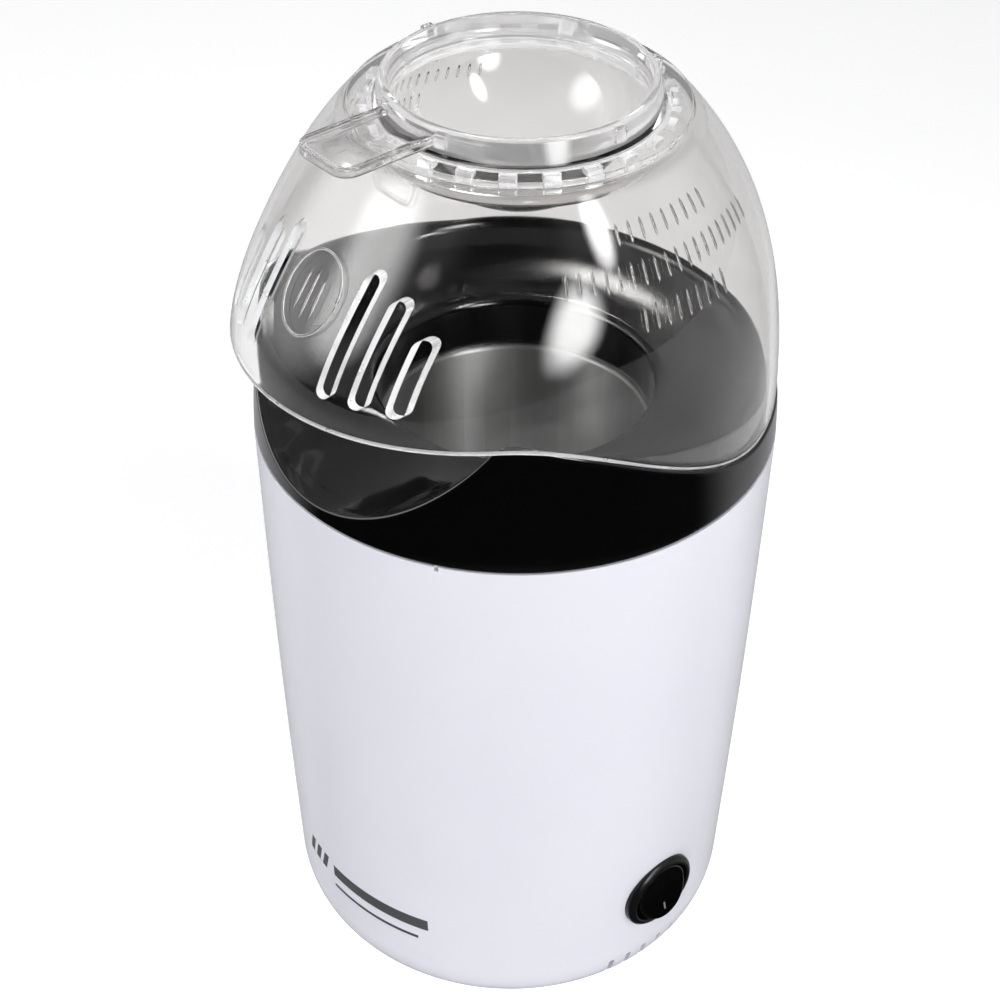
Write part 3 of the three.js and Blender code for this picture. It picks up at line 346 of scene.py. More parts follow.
def filleted(corners, steps=5, closed=True):
    """Points of an outline whose corners (x, y, fillet) are rounded over."""
    points = []
    count = len(corners)
    for i, (x, y, fillet) in enumerate(corners):
        corner = Vector((x, y))
        open_end = not closed and i in (0, count - 1)
        if fillet <= 0 or open_end:
            points.append((x, y))
            continue
        before = Vector(corners[i - 1][:2])
        after = Vector(corners[(i + 1) % count][:2])
        reach_before = min(fillet, (before - corner).length * 0.49)
        reach_after = min(fillet, (after - corner).length * 0.49)
        start = corner + (before - corner).normalized() * reach_before
        end = corner + (after - corner).normalized() * reach_after
        for t in between(0, 1, steps):
            point = start * (1 - t) ** 2 + corner * 2 * t * (1 - t) + end * t ** 2
            points.append((point.x, point.y))
    return points


# ---- meshes


def new_object(name, vertices, faces):
    mesh = bpy.data.meshes.new(name)
    mesh.from_pydata([tuple(v) for v in vertices], [], faces)
    mesh.validate()
    obj = bpy.data.objects.new(name, mesh)
    bpy.context.scene.collection.objects.link(obj)
    return obj


def smooth(obj, sharp):
    """Faces point out and shade smooth, with creases sharper than this many degrees kept."""
    work = bmesh.new()
    work.from_mesh(obj.data)
    bmesh.ops.remove_doubles(work, verts=work.verts, dist=2e-6)
    bmesh.ops.dissolve_degenerate(work, edges=work.edges, dist=1e-6)
    bmesh.ops.recalc_face_normals(work, faces=work.faces)
    work.to_mesh(obj.data)
    work.free()
    obj.data.shade_smooth()
    obj.data.set_sharp_from_angle(angle=math.radians(sharp))


def ring_mesh(name, section_at, steps=ROUND, placed=at):
    """A closed ring: section_at(bearing) gives the same number of (radius, height) pairs at every bearing."""
    rows = [[placed(b, r, z) for r, z in section_at(b)] for b in around(steps)]
    count = len(rows[0])
    vertices = [v for row in rows for v in row]
    faces = []
    for i in range(steps):
        here = i * count
        there = (i + 1) % steps * count
        for j in range(count):
            k = (j + 1) % count
            faces.append((here + j, there + j, there + k, here + k))
    return new_object(name, vertices, faces)


def turned(name, profile, steps=ROUND, placed=at):
    """A turned piece. A profile that starts and ends on the axis is closed there."""
    if profile[0][0] > 0:
        return ring_mesh(name, lambda bearing: profile, steps, placed)
    inner = profile[1:-1]
    count = len(inner)
    vertices = [placed(b, r, z) for b in around(steps) for r, z in inner]
    first = len(vertices)
    vertices += [placed(0, 0, profile[0][1]), placed(0, 0, profile[-1][1])]
    faces = []
    for i in range(steps):
        here = i * count
        there = (i + 1) % steps * count
        for j in range(count - 1):
            faces.append((here + j, there + j, there + j + 1, here + j + 1))
        faces.append((first, there, here))
        faces.append((first + 1, here + count - 1, there + count - 1))
    return new_object(name, vertices, faces)


def prism(name, outline, low, high, placed):
    """An outline of (x, y) pairs pushed from one height to another."""
    count = len(outline)
    vertices = [placed(x, y, z) for z in (low, high) for x, y in outline]
    faces = [tuple(reversed(range(count))), tuple(range(count, 2 * count))]
    for i in range(count):
        j = (i + 1) % count
        faces.append((i, j, count + j, count + i))
    return new_object(name, vertices, faces)


def rectangle(x_low, x_high, y_low, y_high, corner=0):
    corners = [(x_low, y_low), (x_high, y_low), (x_high, y_high), (x_low, y_high)]
    return filleted([(x, y, corner) for x, y in corners])


def drilled(radius, low, high):
    """The profile of a plain round cutter."""
    return [(0, low), (radius, low), (radius, high), (0, high)]


def merged(objects, name):
    """Several separate meshes as one object."""
    work = bmesh.new()
    for obj in objects:
        work.from_mesh(obj.data)
        bpy.data.objects.remove(obj)
    bmesh.ops.recalc_face_normals(work, faces=work.faces)
    mesh = bpy.data.meshes.new(name)
    work.to_mesh(mesh)
    work.free()
    obj = bpy.data.objects.new(name, mesh)
    bpy.context.scene.collection.objects.link(obj)
    return obj


def applied(obj):
    """The piece with its modifiers made part of its mesh."""
    bpy.context.view_layer.update()
    graph = bpy.context.evaluated_depsgraph_get()
    made = bpy.data.meshes.new_from_object(obj.evaluated_get(graph))
    obj.modifiers.clear()
    obj.data = made
    return obj


def combine(obj, other, operation):
    """Cuts other away from obj, or joins it on, and removes other."""
    for piece in (obj, other):
        work = bmesh.new()
        work.from_mesh(piece.data)
        bmesh.ops.recalc_face_normals(work, faces=work.faces)
        work.to_mesh(piece.data)
        work.free()
    modifier = obj.modifiers.new("combine", "BOOLEAN")
    modifier.operation = operation
    modifier.solver = "EXACT"
    modifier.material_mode = "TRANSFER" if other.data.materials else "INDEX"
    modifier.object = other
    applied(obj)
    bpy.data.objects.remove(other)
    return obj


def turned_on(bearing, piece_at):
    """A placing function for something made at the front of the body, turned to a bearing."""
    turn = Matrix.Rotation(math.radians(bearing), 3, "Z")
    return lambda x, y, z: AXIS + turn @ (piece_at(x, y, z) - AXIS)


def plain(x, y, z):
    return AXIS + Vector((x, y, z)) * MM


def upright(x, z, y):
    """Places an outline that is drawn standing up, and pushed along y."""
    return plain(x, y, z)


def coat(obj, *materials):
    """Gives an object these materials in place of its own."""
    obj.data.materials.clear()
    for material in materials:
        obj.data.materials.append(material)


def finished(obj, material, body, slot, *nodes, sharp=35):
    smooth(obj, sharp)
    if not obj.data.materials:
        coat(obj, material)
    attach(obj, body)
    if nodes:
        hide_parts(*nodes)


# ---- material nodes


def add_node(tree, kind, inputs=None, **settings):
    """A new node's outputs. Each input is a socket to link from, or a plain value."""
    made = tree.nodes.new(kind)
    for label, value in settings.items():
        setattr(made, label, value)
    for label, value in (inputs or {}).items():
        if isinstance(value, bpy.types.NodeSocket):
            tree.links.new(value, made.inputs[label])
        else:
            made.inputs[label].default_value = value
    return made.outputs


def map_range(tree, source, low, high, to_low, to_high, kind="SMOOTHSTEP"):
    inputs = {"Value": source, "From Min": low, "From Max": high, "To Min": to_low, "To Max": to_high}
    return add_node(tree, "ShaderNodeMapRange", inputs, interpolation_type=kind)["Result"]


class Material:
    """A node material: a Principled shader whose inputs the methods feed."""

    def __init__(self, name, **sockets):
        self.material = bpy.data.materials.new(name)
        self.material.use_nodes = True
        self.tree = self.material.node_tree
        self.shader = self.tree.nodes["Principled BSDF"]
        self.place = self.node("ShaderNodeTexCoord")["Object"]
        for label, value in sockets.items():
            self.shader.inputs[label.replace("_", " ")].default_value = value

    def node(self, kind, inputs=None, **settings):
        return add_node(self.tree, kind, inputs, **settings)

    def feed(self, label, source):
        self.tree.links.new(source, self.shader.inputs[label])

    def noise(self, scale, detail=2.0, stretch=(1, 1, 1)):
        """Noise over the piece's own coordinates; scale counts features per metre."""
        place = self.node("ShaderNodeMapping", {"Vector": self.place, "Scale": stretch})["Vector"]
        return self.node("ShaderNodeTexNoise", {"Vector": place, "Scale": scale, "Detail": detail})["Fac"]

    def ranged(self, source, low, high, from_low=0.3, from_high=0.7):
        return map_range(self.tree, source, from_low, from_high, low, high, "LINEAR")

    def blend(self, factor, first, second):
        """A colour between two others, each a socket or a plain colour."""
        first, second = [(*colour, 1) if isinstance(colour, tuple) else colour for colour in (first, second)]
        return self.node("ShaderNodeMix", {0: factor, 6: first, 7: second}, data_type="RGBA")[2]

    def edges(self, low=0.505, high=0.56):
        """Near 1 on outward edges, near 0 elsewhere."""
        return self.ranged(self.node("ShaderNodeNewGeometry")["Pointiness"], 0, 1, low, high)

    def bumps(self, *layers):
        """Each layer is (height source, strength, distance in metres); they add up."""
        inputs = {}
        for height, strength, distance in layers:
            inputs.update({"Height": height, "Strength": strength, "Distance": distance})
            inputs["Normal"] = self.node("ShaderNodeBump", inputs)["Normal"]
        self.feed("Normal", inputs["Normal"])


def plastic(name, dark, light, worn, rough, grain=900, depth=0.00004, **sockets):
    """Moulded plastic: slow colour drift, fine grain, faint handling marks and paler edges."""
    made = Material(name, **sockets)
    drift = made.ranged(made.noise(14), 0, 1)
    body = made.blend(drift, dark, light)
    made.feed("Base Color", made.blend(made.edges(), body, worn))
    marks = made.noise(60, 5.0, (1, 1, 0.25))
    made.feed("Roughness", made.ranged(marks, *rough))
    made.bumps((made.noise(grain, 3.0), 0.12, depth), (made.noise(45), 0.05, 0.0003))
    return made.material


def metal(name, dark, light, rough, stretch=(1, 1, 14), **sockets):
    """Spun or drawn metal: fine lines, uneven gloss and brighter edges."""
    made = Material(name, Metallic=1.0, **sockets)
    lines = made.noise(420, 4.0, stretch)
    stains = made.noise(35, 4.0)
    body = made.blend(made.ranged(stains, 0, 1), dark, light)
    made.feed("Base Color", made.blend(made.edges(), body, tuple(min(1, c * 1.15) for c in light)))
    made.feed("Roughness", made.ranged(lines, *rough))
    made.bumps((lines, 0.15, 0.00003), (stains, 0.05, 0.0002))
    return made.material


def clear_plastic(name, tint, haze, clearness=1.0):
    """Clear moulded plastic with faint flow marks. Lamps shine through it."""
    made = Material(name, Transmission_Weight=clearness, IOR=1.5)
    drift = made.ranged(made.noise(12), 0, 1)
    made.feed("Base Color", made.blend(drift, tint, tuple(min(1, c + 0.015) for c in tint)))
    made.feed("Roughness", made.ranged(made.noise(70, 5.0), *haze))
    made.bumps((made.noise(28), 0.04, 0.0006), (made.noise(160, 3.0), 0.02, 0.0001))
    through = made.node("ShaderNodeBsdfTransparent", {"Color": (0.95, 0.955, 0.96, 1)})[0]
    lamp_rays = made.node("ShaderNodeLightPath")["Is Shadow Ray"]
    mix = made.node("ShaderNodeMixShader", {0: lamp_rays, 1: made.shader.outputs[0], 2: through})[0]
    made.tree.links.new(mix, made.tree.nodes["Material Output"].inputs["Surface"])
    return made.material


def floor_material():
    made = Material("floor", Specular_IOR_Level=0.2, Emission_Color=(1, 1, 1, 1), Emission_Strength=0.46)
    drift = made.ranged(made.noise(3), 0, 1)
    made.feed("Base Color", made.blend(drift, (0.90, 0.90, 0.905), (0.92, 0.92, 0.925)))
    made.feed("Roughness", made.ranged(made.noise(40), 0.6, 0.75))
    return made.material


WHITE = plastic("white_shell", (0.745, 0.745, 0.815), (0.775, 0.775, 0.84), (0.81, 0.81, 0.87), (0.16, 0.26),
                Coat_Weight=0.35, Coat_Roughness=0.08)
BLACK_GLOSS = plastic("black_gloss", (0.0005, 0.0005, 0.0006), (0.0009, 0.0009, 0.0011),
                      (0.004, 0.004, 0.0045), (0.10, 0.17), Coat_Weight=0.7, Coat_Roughness=0.05)
BLACK_SATIN = plastic("black_satin", (0.0026, 0.0026, 0.003), (0.0042, 0.0042, 0.0048), (0.012, 0.012, 0.013),
                      (0.26, 0.38), grain=1600, depth=0.00008)
BLACK_NYLON = plastic("black_nylon", (0.022, 0.022, 0.023), (0.032, 0.032, 0.034), (0.055, 0.055, 0.057),
                      (0.48, 0.62), grain=1400, depth=0.0001)
RUBBER = plastic("rubber", (0.020, 0.020, 0.021), (0.030, 0.030, 0.031), (0.05, 0.05, 0.05),
                 (0.75, 0.88), grain=2000, depth=0.0001)
MICA = plastic("mica", (0.36, 0.29, 0.19), (0.55, 0.47, 0.34), (0.66, 0.58, 0.44), (0.35, 0.60), grain=260)
BOARD = plastic("circuit_board", (0.30, 0.18, 0.07), (0.38, 0.24, 0.10), (0.5, 0.36, 0.2), (0.45, 0.6))
SLEEVE = plastic("lead_sleeve", (0.62, 0.60, 0.54), (0.74, 0.72, 0.67), (0.8, 0.78, 0.72), (0.6, 0.8),
                 grain=1500)
PRINT = plastic("grey_print", (0.045, 0.045, 0.05), (0.06, 0.06, 0.066), (0.08, 0.08, 0.085), (0.35, 0.5))
MARK = plastic("white_print", (0.13, 0.13, 0.13), (0.17, 0.17, 0.17), (0.2, 0.2, 0.2), (0.4, 0.55))
ALUMINIUM = metal("polished_aluminium", (0.44, 0.44, 0.435), (0.55, 0.55, 0.545), (0.36, 0.46),
                  Anisotropic=0.92, Anisotropic_Rotation=0.25)
STEEL = metal("steel", (0.48, 0.48, 0.49), (0.62, 0.62, 0.63), (0.25, 0.42))
BRASS = metal("brass", (0.56, 0.42, 0.17), (0.74, 0.57, 0.26), (0.22, 0.38))
WIRE = metal("resistance_wire", (0.20, 0.18, 0.17), (0.36, 0.33, 0.30), (0.35, 0.55), (1, 1, 1))
CLEAR = clear_plastic("clear_plastic", (0.875, 0.865, 0.855), (0.012, 0.045))
CLEAR_EDGE = clear_plastic("clear_plastic_edge", (0.95, 0.95, 0.955), (0.22, 0.36), 0.66)
CLEAR_RIM = clear_plastic("clear_plastic_rim", (0.96, 0.955, 0.95), (0.05, 0.12), 0.72)
CLEAR_CUP = clear_plastic("clear_plastic_cup", (0.915, 0.905, 0.90), (0.010, 0.035))
FLOOR = floor_material()

# ---- housing


def housing():
    heights = between(HOUSING_BOTTOM, HOUSING_SHOULDER_HEIGHT, 24)
    heights += between(HOUSING_SHOULDER_HEIGHT, HOUSING_TOP - 0.5, 60)[1:]
    outer = [(housing_radius(z), z) for z in heights]
    top_edge = filleted([
        (housing_radius(HOUSING_TOP - 0.5), HOUSING_TOP - 0.5, 0),
        (HOUSING_TOP_RADIUS, HOUSING_TOP, 0.45),
        (HOUSING_TOP_RADIUS - HOUSING_WALL, HOUSING_TOP, 0.4),
        (HOUSING_TOP_RADIUS - HOUSING_WALL, HOUSING_TOP - 1, 0),
    ], closed=False)
    inner = [(r - HOUSING_WALL, z) for r, z in outer if z > BASE_TOP + 2][::-2]
    seat = [(BASE_OPENING_RADIUS, BASE_TOP), (BASE_OPENING_RADIUS, HOUSING_BOTTOM)]
    shell = turned("housing_shell", outer + top_edge[1:-1] + inner + seat, 2 * ROUND)
    return combine(shell, merged(housing_cutters(), "cutters"), "DIFFERENCE")


def housing_cutters():
    cutters = []
    half_width = VENT_WIDTH / 2
    for side in (90, 270):
        for step in between(-VENT_HALF_SPREAD, VENT_HALF_SPREAD, VENT_COUNT - 1):
            outline = rectangle(-half_width, half_width, VENT_BOTTOM, VENT_TOP, half_width)
            cutters.append(prism("vent", outline, -VENT_OUTER, -VENT_INNER, turned_on(side + step, upright)))
    cutters.append(turned("bore", drilled(SWITCH_BARREL + 0.6, -12, 12), 96, on_switch_round))
    tick = rectangle(-TICK_WIDTH / 2, TICK_WIDTH / 2, -VENT_OUTER, TICK_INWARD - HOUSING_TOP_RADIUS)
    tick_placed = turned_on(TICK_BEARING, plain)
    cutters.append(prism("tick", tick, HOUSING_TOP - TICK_DEPTH, HOUSING_TOP + 1, tick_placed))
    gland = drilled(GLAND_RADIUS + GAP, GLAND_INNER_END - 2, VENT_OUTER + 2)
    cutters.append(turned("bore", gland, 64, on_gland_round))
    return cutters


# ---- collar


def dish_floor(radius):
    t = max(0, radius - MOUTH_RADIUS) / (DISH_RADIUS - MOUTH_RADIUS)
    return MOUTH_HEIGHT + DISH_RISE * t * t


def collar_top_line(bearing):
    """The collar's upper side from the rim's outer edge in to the neck, before the chute is cut from it."""
    rim = rim_height(bearing) - GAP
    lip = lip_height(bearing)
    edge = dome_radius(max(rim, lip)) - COVER_WALL - LIP_CLEARANCE
    outer = collar_radius(rim)
    line = [(r, rim) for r in between(outer - 0.7, edge + 0.4, 4)]
    line += [(edge, z) for z in between(rim + 0.4 * (1 if lip > rim else -1), lip - 0.5, 6)]
    line += [(edge - 0.15, lip - 0.15), (edge - 0.5, lip)]
    line += [(r, lip) for r in between(edge - 0.9, DISH_RADIUS + 0.9, 3)]
    line += [(DISH_RADIUS + 0.5, lip), (DISH_RADIUS + 0.15, lip - 0.15), (DISH_RADIUS, lip - 0.5)]
    centre = MOUTH_HEIGHT + DISH_RISE + 3
    start = DISH_RADIUS - DISH_FILLET
    line += [(DISH_RADIUS, z) for z in between(lip - 1.5, centre + 0.3, 10)]
    line += arc(start, centre, DISH_FILLET, 0, -65, 10)
    line += [(r, dish_floor(r)) for r in between(start - 0.8, MOUTH_RADIUS + MOUTH_CURL + 0.5, 22)]
    return line + arc(MOUTH_RADIUS + MOUTH_CURL, MOUTH_HEIGHT - MOUTH_CURL, MOUTH_CURL, 90, 180, 10)


def collar_section(bearing):
    rim = rim_height(bearing) - GAP
    crease = 0.5                # how widely the chute's edges are rounded over
    edge = 0.7
    outer_top = soft_least(rim, chute_floor(bearing, collar_radius(rim)), crease)
    section = [(collar_radius(COLLAR_BOTTOM) - 0.4, COLLAR_BOTTOM)]
    section += [(collar_radius(z), z) for z in between(COLLAR_BOTTOM + 0.4, outer_top - edge, 16)]
    for angle in between(15, 75, 4):
        a = math.radians(angle)
        height = outer_top - edge + edge * math.sin(a)
        section.append((collar_radius(height) - edge * (1 - math.cos(a)), height))
    for radius, height in collar_top_line(bearing):
        section.append((radius, soft_least(height, chute_floor(bearing, radius), crease)))
    section += [(MOUTH_RADIUS, z) for z in between(MOUTH_HEIGHT - MOUTH_CURL - 2, NECK_BOTTOM + 0.4, 6)]
    outside = MOUTH_RADIUS + COLLAR_WALL
    section += [(MOUTH_RADIUS + 0.4, NECK_BOTTOM), (outside - 0.4, NECK_BOTTOM), (outside, NECK_BOTTOM + 0.4)]
    skirt_inside = SKIRT_RADIUS - SKIRT_WALL
    for radius in between(outside, skirt_inside, 14):
        under = soft_least(dish_floor(radius), chute_floor(bearing, radius), crease) - COLLAR_WALL
        section.append((radius, under))
    section += [(skirt_inside, SKIRT_BOTTOM), (SKIRT_RADIUS, SKIRT_BOTTOM), (SKIRT_RADIUS, COLLAR_BOTTOM)]
    return section


def collar():
    return ring_mesh("collar_shell", collar_section, FINE_ROUND)


# ---- cover


def cover_section(bearing):
    rim = rim_height(bearing)
    edge = 0.5
    top = COVER_TOP - 0.8
    levels = [rim + edge + (top - rim - edge) * (i / 70) ** 0.9 for i in range(71)]
    outer = [(cover_radius(bearing, z), z) for z in levels]
    crown = filleted([
        (outer[-1][0], top, 0), (CROWN_OUTER + 0.6, COVER_TOP, 0.5), (CROWN_OUTER, COVER_TOP, 0.2),
        (CROWN_OUTER, COVER_TOP + CROWN_RISE, 0.4), (CROWN_INNER, COVER_TOP + CROWN_RISE, 0.4),
        (CROWN_INNER, COVER_TOP, 0.3), (COVER_OPENING, COVER_TOP, 0.5), (COVER_OPENING, COVER_TOP - 3, 0.5),
        (COVER_OPENING + 6.5, COVER_TOP - 2.6, 0),
    ], closed=False)
    inner = []
    for z in reversed(levels[:-2]):
        sag = 1.2 * smoothstep(RIM_HIGH, COVER_TOP - 2, z)
        inner.append((cover_radius(bearing, z) - COVER_WALL, z - sag))
    rim_radius = cover_radius(bearing, rim)
    lower = [(rim_radius - COVER_WALL + edge, rim), (rim_radius - edge, rim)]
    return outer + crown[1:] + inner + lower


def cover_cutters():
    cutters = []
    half = SLOT_WIDTH / 2
    for offset, top in zip(SLOT_OFFSETS, SLOT_TOPS):
        for side in (offset, -offset):
            outline = arc(side, top - half, half, 0, 180, 14)
            outline += arc(side, SLOT_BOTTOM + half, half, 180, 360, 14)
            cutters.append(prism("slot", outline, -95, -22, upright))
    half = RECESS_WIDTH / 2
    for bearing in around(RECESS_COUNT):
        outline = rectangle(-half, half, -RECESS_OUTER, -RECESS_INNER, 0.5)
        cutters.append(prism("recess", outline, RECESS_FLOOR, TOTAL_HEIGHT, turned_on(bearing, plain)))
    return cutters


def coat_rim(obj, low, reach, slot):
    """Gives one material slot to the faces above a height and within a radius."""
    for polygon in obj.data.polygons:
        place = (polygon.center - AXIS) / MM
        if place.z > low and math.hypot(place.x, place.y) < reach:
            polygon.material_index = slot


def cover():
    """The dome in clear plastic, with a paler moulded edge along its rim and round its slots."""
    steps = FINE_ROUND // 2
    shell = ring_mesh("cover_shell", cover_section, steps)
    coat(shell, CLEAR, CLEAR_EDGE, CLEAR_RIM)
    count = len(shell.data.polygons) // steps
    for index, polygon in enumerate(shell.data.polygons):
        polygon.material_index = 1 if index % count >= count - 3 else 0
    coat_rim(shell, COVER_TOP - CROWN_DEPTH, CROWN_INNER, 2)
    cutters = merged(cover_cutters(), "cutters")
    coat(cutters, CLEAR_EDGE)
    return combine(shell, cutters, "DIFFERENCE")


# ---- measuring cup


def bowl_line(radius, depth, steps):
    line = []
    for angle in between(2, 88, steps):
        a = math.radians(angle)
        line.append((radius * math.sin(a), TOTAL_HEIGHT - 1 - depth * math.cos(a)))
    return line


def cup_bowl():
    outer = [p for p in bowl_line(CUP_RIM_RADIUS - 0.4, CUP_DEPTH, 48) if p[1] < CUP_SEAT_HEIGHT - 0.3]
    inner = bowl_line(CUP_RIM_RADIUS - CUP_WALL - 0.4, CUP_DEPTH - CUP_WALL, 48)[::-1]
    seat = CUP_RIM_RADIUS + CUP_SEAT_WIDTH
    rim = filleted([
        (CUP_RIM_RADIUS - 0.3, CUP_SEAT_HEIGHT - 0.3, 0), (CUP_RIM_RADIUS, CUP_SEAT_HEIGHT, 0.2),
        (seat, CUP_SEAT_HEIGHT, 0.3), (seat, CUP_SEAT_HEIGHT + 1, 0.4), (CUP_RIM_RADIUS, TOTAL_HEIGHT, 0.7),
        (CUP_RIM_RADIUS - CUP_WALL, TOTAL_HEIGHT, 0.6), (CUP_RIM_RADIUS - CUP_WALL, TOTAL_HEIGHT - 2, 0),
    ], closed=False)
    low = TOTAL_HEIGHT - 1 - CUP_DEPTH
    profile = [(0, low)] + outer + rim[1:-1] + inner[2:] + [(0, low + CUP_WALL)]
    return turned("measuring_cup_shell", profile)


def tab_outline(inset):
    half = HANDLE_WIDTH / 2 - inset
    end = HANDLE_LENGTH - inset
    root = CUP_RIM_RADIUS - HANDLE_WALL - inset
    corner = HANDLE_CORNER - inset
    return filleted([(-half, -end, corner), (half, -end, corner), (half, -root, 0), (-half, -root, 0)], 10)


def rounded_edges(obj, width):
    """The piece with its sharp edges rounded over."""
    modifier = obj.modifiers.new("round", "BEVEL")
    modifier.width = width * MM
    modifier.segments = 3
    modifier.limit_method = "ANGLE"
    modifier.angle_limit = math.radians(50)
    return applied(obj)


def cup_handle():
    bottom = HANDLE_TOP - HANDLE_DEPTH
    handle = prism("handle", tab_outline(0), bottom, HANDLE_TOP, plain)
    hollow = prism("hollow", tab_outline(HANDLE_WALL), bottom - 3, HANDLE_TOP - HANDLE_WALL, plain)
    combine(handle, hollow, "DIFFERENCE")
    rounded_edges(handle, 0.35)
    inside = drilled(CUP_RIM_RADIUS - CUP_WALL / 2, bottom - 7, TOTAL_HEIGHT + 2)
    return combine(handle, turned("inside", inside), "DIFFERENCE")


def rim_lug(bearing):
    half = LUG_WIDTH / 2
    outline = rectangle(-half, half, -LUG_REACH, CUP_WALL / 2 - CUP_RIM_RADIUS, 0.5)
    top = TOTAL_HEIGHT - 0.5
    return rounded_edges(prism("lug", outline, top - LUG_HEIGHT, top, turned_on(bearing, plain)), 0.35)


def measuring_cup():
    cup = combine(cup_bowl(), cup_handle(), "UNION")
    cup = combine(cup, merged([rim_lug(bearing) for bearing in LUG_BEARINGS], "lugs"), "UNION")
    coat(cup, CLEAR_CUP, CLEAR_RIM)
    coat_rim(cup, CUP_SEAT_HEIGHT - 0.5, CUP_RIM_RADIUS + 0.6, 1)
    return cup


# ---- popping chamber


def popping_chamber():
    outer = CHAMBER_RADIUS + CHAMBER_WALL
    flange_top = NECK_BOTTOM - GAP
    floor = CHAMBER_FLOOR
    waist = floor + CHAMBER_WAIST_RISE
    peak = floor + CHAMBER_CONE_RISE
    profile = filleted([
        (0, peak - CHAMBER_WALL, 0), (CHAMBER_WAIST_RADIUS, waist, 4), (CHAMBER_CONE_RADIUS, floor, 4),
        (outer, floor, CHAMBER_CORNER), (outer, flange_top - CHAMBER_WALL, 0.4),
        (CHAMBER_FLANGE_RADIUS, flange_top - CHAMBER_WALL, 0.4), (CHAMBER_FLANGE_RADIUS, flange_top, 0.4),
        (CHAMBER_RADIUS, flange_top, 1.2), (CHAMBER_RADIUS, floor + CHAMBER_WALL, CHAMBER_CORNER - 0.6),
        (CHAMBER_CONE_RADIUS, floor + CHAMBER_WALL, 4), (CHAMBER_WAIST_RADIUS, waist + CHAMBER_WALL, 4),
        (0, peak, 0),
    ], 8, closed=False)
    bowl = turned("chamber_bowl", profile)
    cutters = []
    lean = Matrix.Rotation(LOUVRE_LEAN, 3, "Y")
    middle = Vector((0, 0, CHAMBER_FLOOR + LOUVRE_HEIGHT))
    for bearing in around(LOUVRE_COUNT):
        outline = rectangle(-LOUVRE_WIDTH / 2, LOUVRE_WIDTH / 2, -LOUVRE_LENGTH / 2, LOUVRE_LENGTH / 2, 0.8)
        placed = turned_on(bearing, lambda x, z, y: plain(*(lean @ Vector((x, y, z)) + middle)))
        cutters.append(prism("louvre", outline, -CHAMBER_RADIUS - 4, -CHAMBER_RADIUS + 4, placed))
    return combine(bowl, merged(cutters, "cutters"), "DIFFERENCE")


# ---- base, feet and screws


def base_plate():
    radius = BASE_OPENING_RADIUS - GAP
    profile = filleted([
        (BASE_CENTRE_HOLE, BASE_BOTTOM, 0.3), (radius, BASE_BOTTOM, 0.5),
        (radius, BASE_TOP, 0.3), (BASE_CENTRE_HOLE, BASE_TOP, 0.3),
    ])
    plate = turned("base_disc", profile)
    cutters = []
    half = BASE_SLOT_WIDTH / 2
    for bearing in around(BASE_SLOT_COUNT):
        outline = rectangle(-half, half, -BASE_SLOT_OUTER, -BASE_SLOT_INNER, half)
        cutters.append(prism("slot", outline, 0, 9, turned_on(bearing, plain)))
    for circle, radius, bearings in ((FOOT_CIRCLE, FOOT_STEM_RADIUS + GAP, FOOT_BEARINGS),
                                     (SCREW_CIRCLE, SCREW_RADIUS + 0.4, SCREW_BEARINGS)):
        for bearing in bearings:
            cutters.append(turned("hole", drilled(radius, 0, 9), 48, carried(at, circle, bearing)))
    return combine(plate, merged(cutters, "cutters"), "DIFFERENCE")


def carried(placed, circle, bearing):
    """A placing function carried out to a place on a circle round the body's axis."""
    centre = at(bearing, circle, 0) - AXIS
    return lambda *place: placed(*place) + centre


def foot(number, bearing):
    pad_top = BASE_BOTTOM - GAP
    profile = filleted([
        (0, 0, 0), (FOOT_RADIUS, 0, 0.9), (FOOT_RADIUS, pad_top, 0.3), (FOOT_STEM_RADIUS, pad_top, 0.2),
        (FOOT_STEM_RADIUS, FOOT_TOP, 0.8), (0, FOOT_TOP, 0),
    ], closed=False)
    return turned(f"foot_pad_{number}", profile, 64, carried(at, FOOT_CIRCLE, bearing))


def base_screw(number, bearing):
    head = SCREW_HEAD_BOTTOM
    neck, tip = head + SCREW_HEAD_HEIGHT, head + SCREW_LENGTH
    profile = filleted([
        (0, head, 0), (SCREW_HEAD_RADIUS, head, 0.9), (SCREW_HEAD_RADIUS, neck, 0.2),
        (SCREW_RADIUS, neck, 0.2), (SCREW_RADIUS, tip - SCREW_POINT, 0.2), (0, tip, 0),
    ], closed=False)
    screw = turned(f"base_screw_body_{number}", profile, 64, carried(at, SCREW_CIRCLE, bearing))
    length, width = SCREW_SLOT_LENGTH / 2, SCREW_SLOT_WIDTH / 2
    outline = rectangle(-length, length, -width, width, 0.2)
    placed = carried(plain, SCREW_CIRCLE, bearing)
    recess = prism("recess", outline, -1, head + SCREW_SLOT_DEPTH, placed)
    return combine(screw, recess, "DIFFERENCE")


def on_gland_round(bearing, radius, distance):
    """Round an axis that runs towards +Y at the gland's height."""
    angle = math.radians(bearing)
    return plain(radius * math.sin(angle), distance, GLAND_HEIGHT + radius * math.cos(angle))


def cord_gland():
    wall = housing_radius(GLAND_HEIGHT) + GAP
    profile = filleted([
        (GLAND_BORE, GLAND_INNER_END, 0.2), (GLAND_RADIUS, GLAND_INNER_END, 0.3), (GLAND_RADIUS, wall, 0),
        (GLAND_FLANGE_RADIUS, wall, 0.3), (GLAND_FLANGE_RADIUS, GLAND_OUTER_END, 1.2),
        (GLAND_BORE, GLAND_OUTER_END, 0.8),
    ])
    return turned("gland_bush", profile, 96, on_gland_round)


# ---- switch

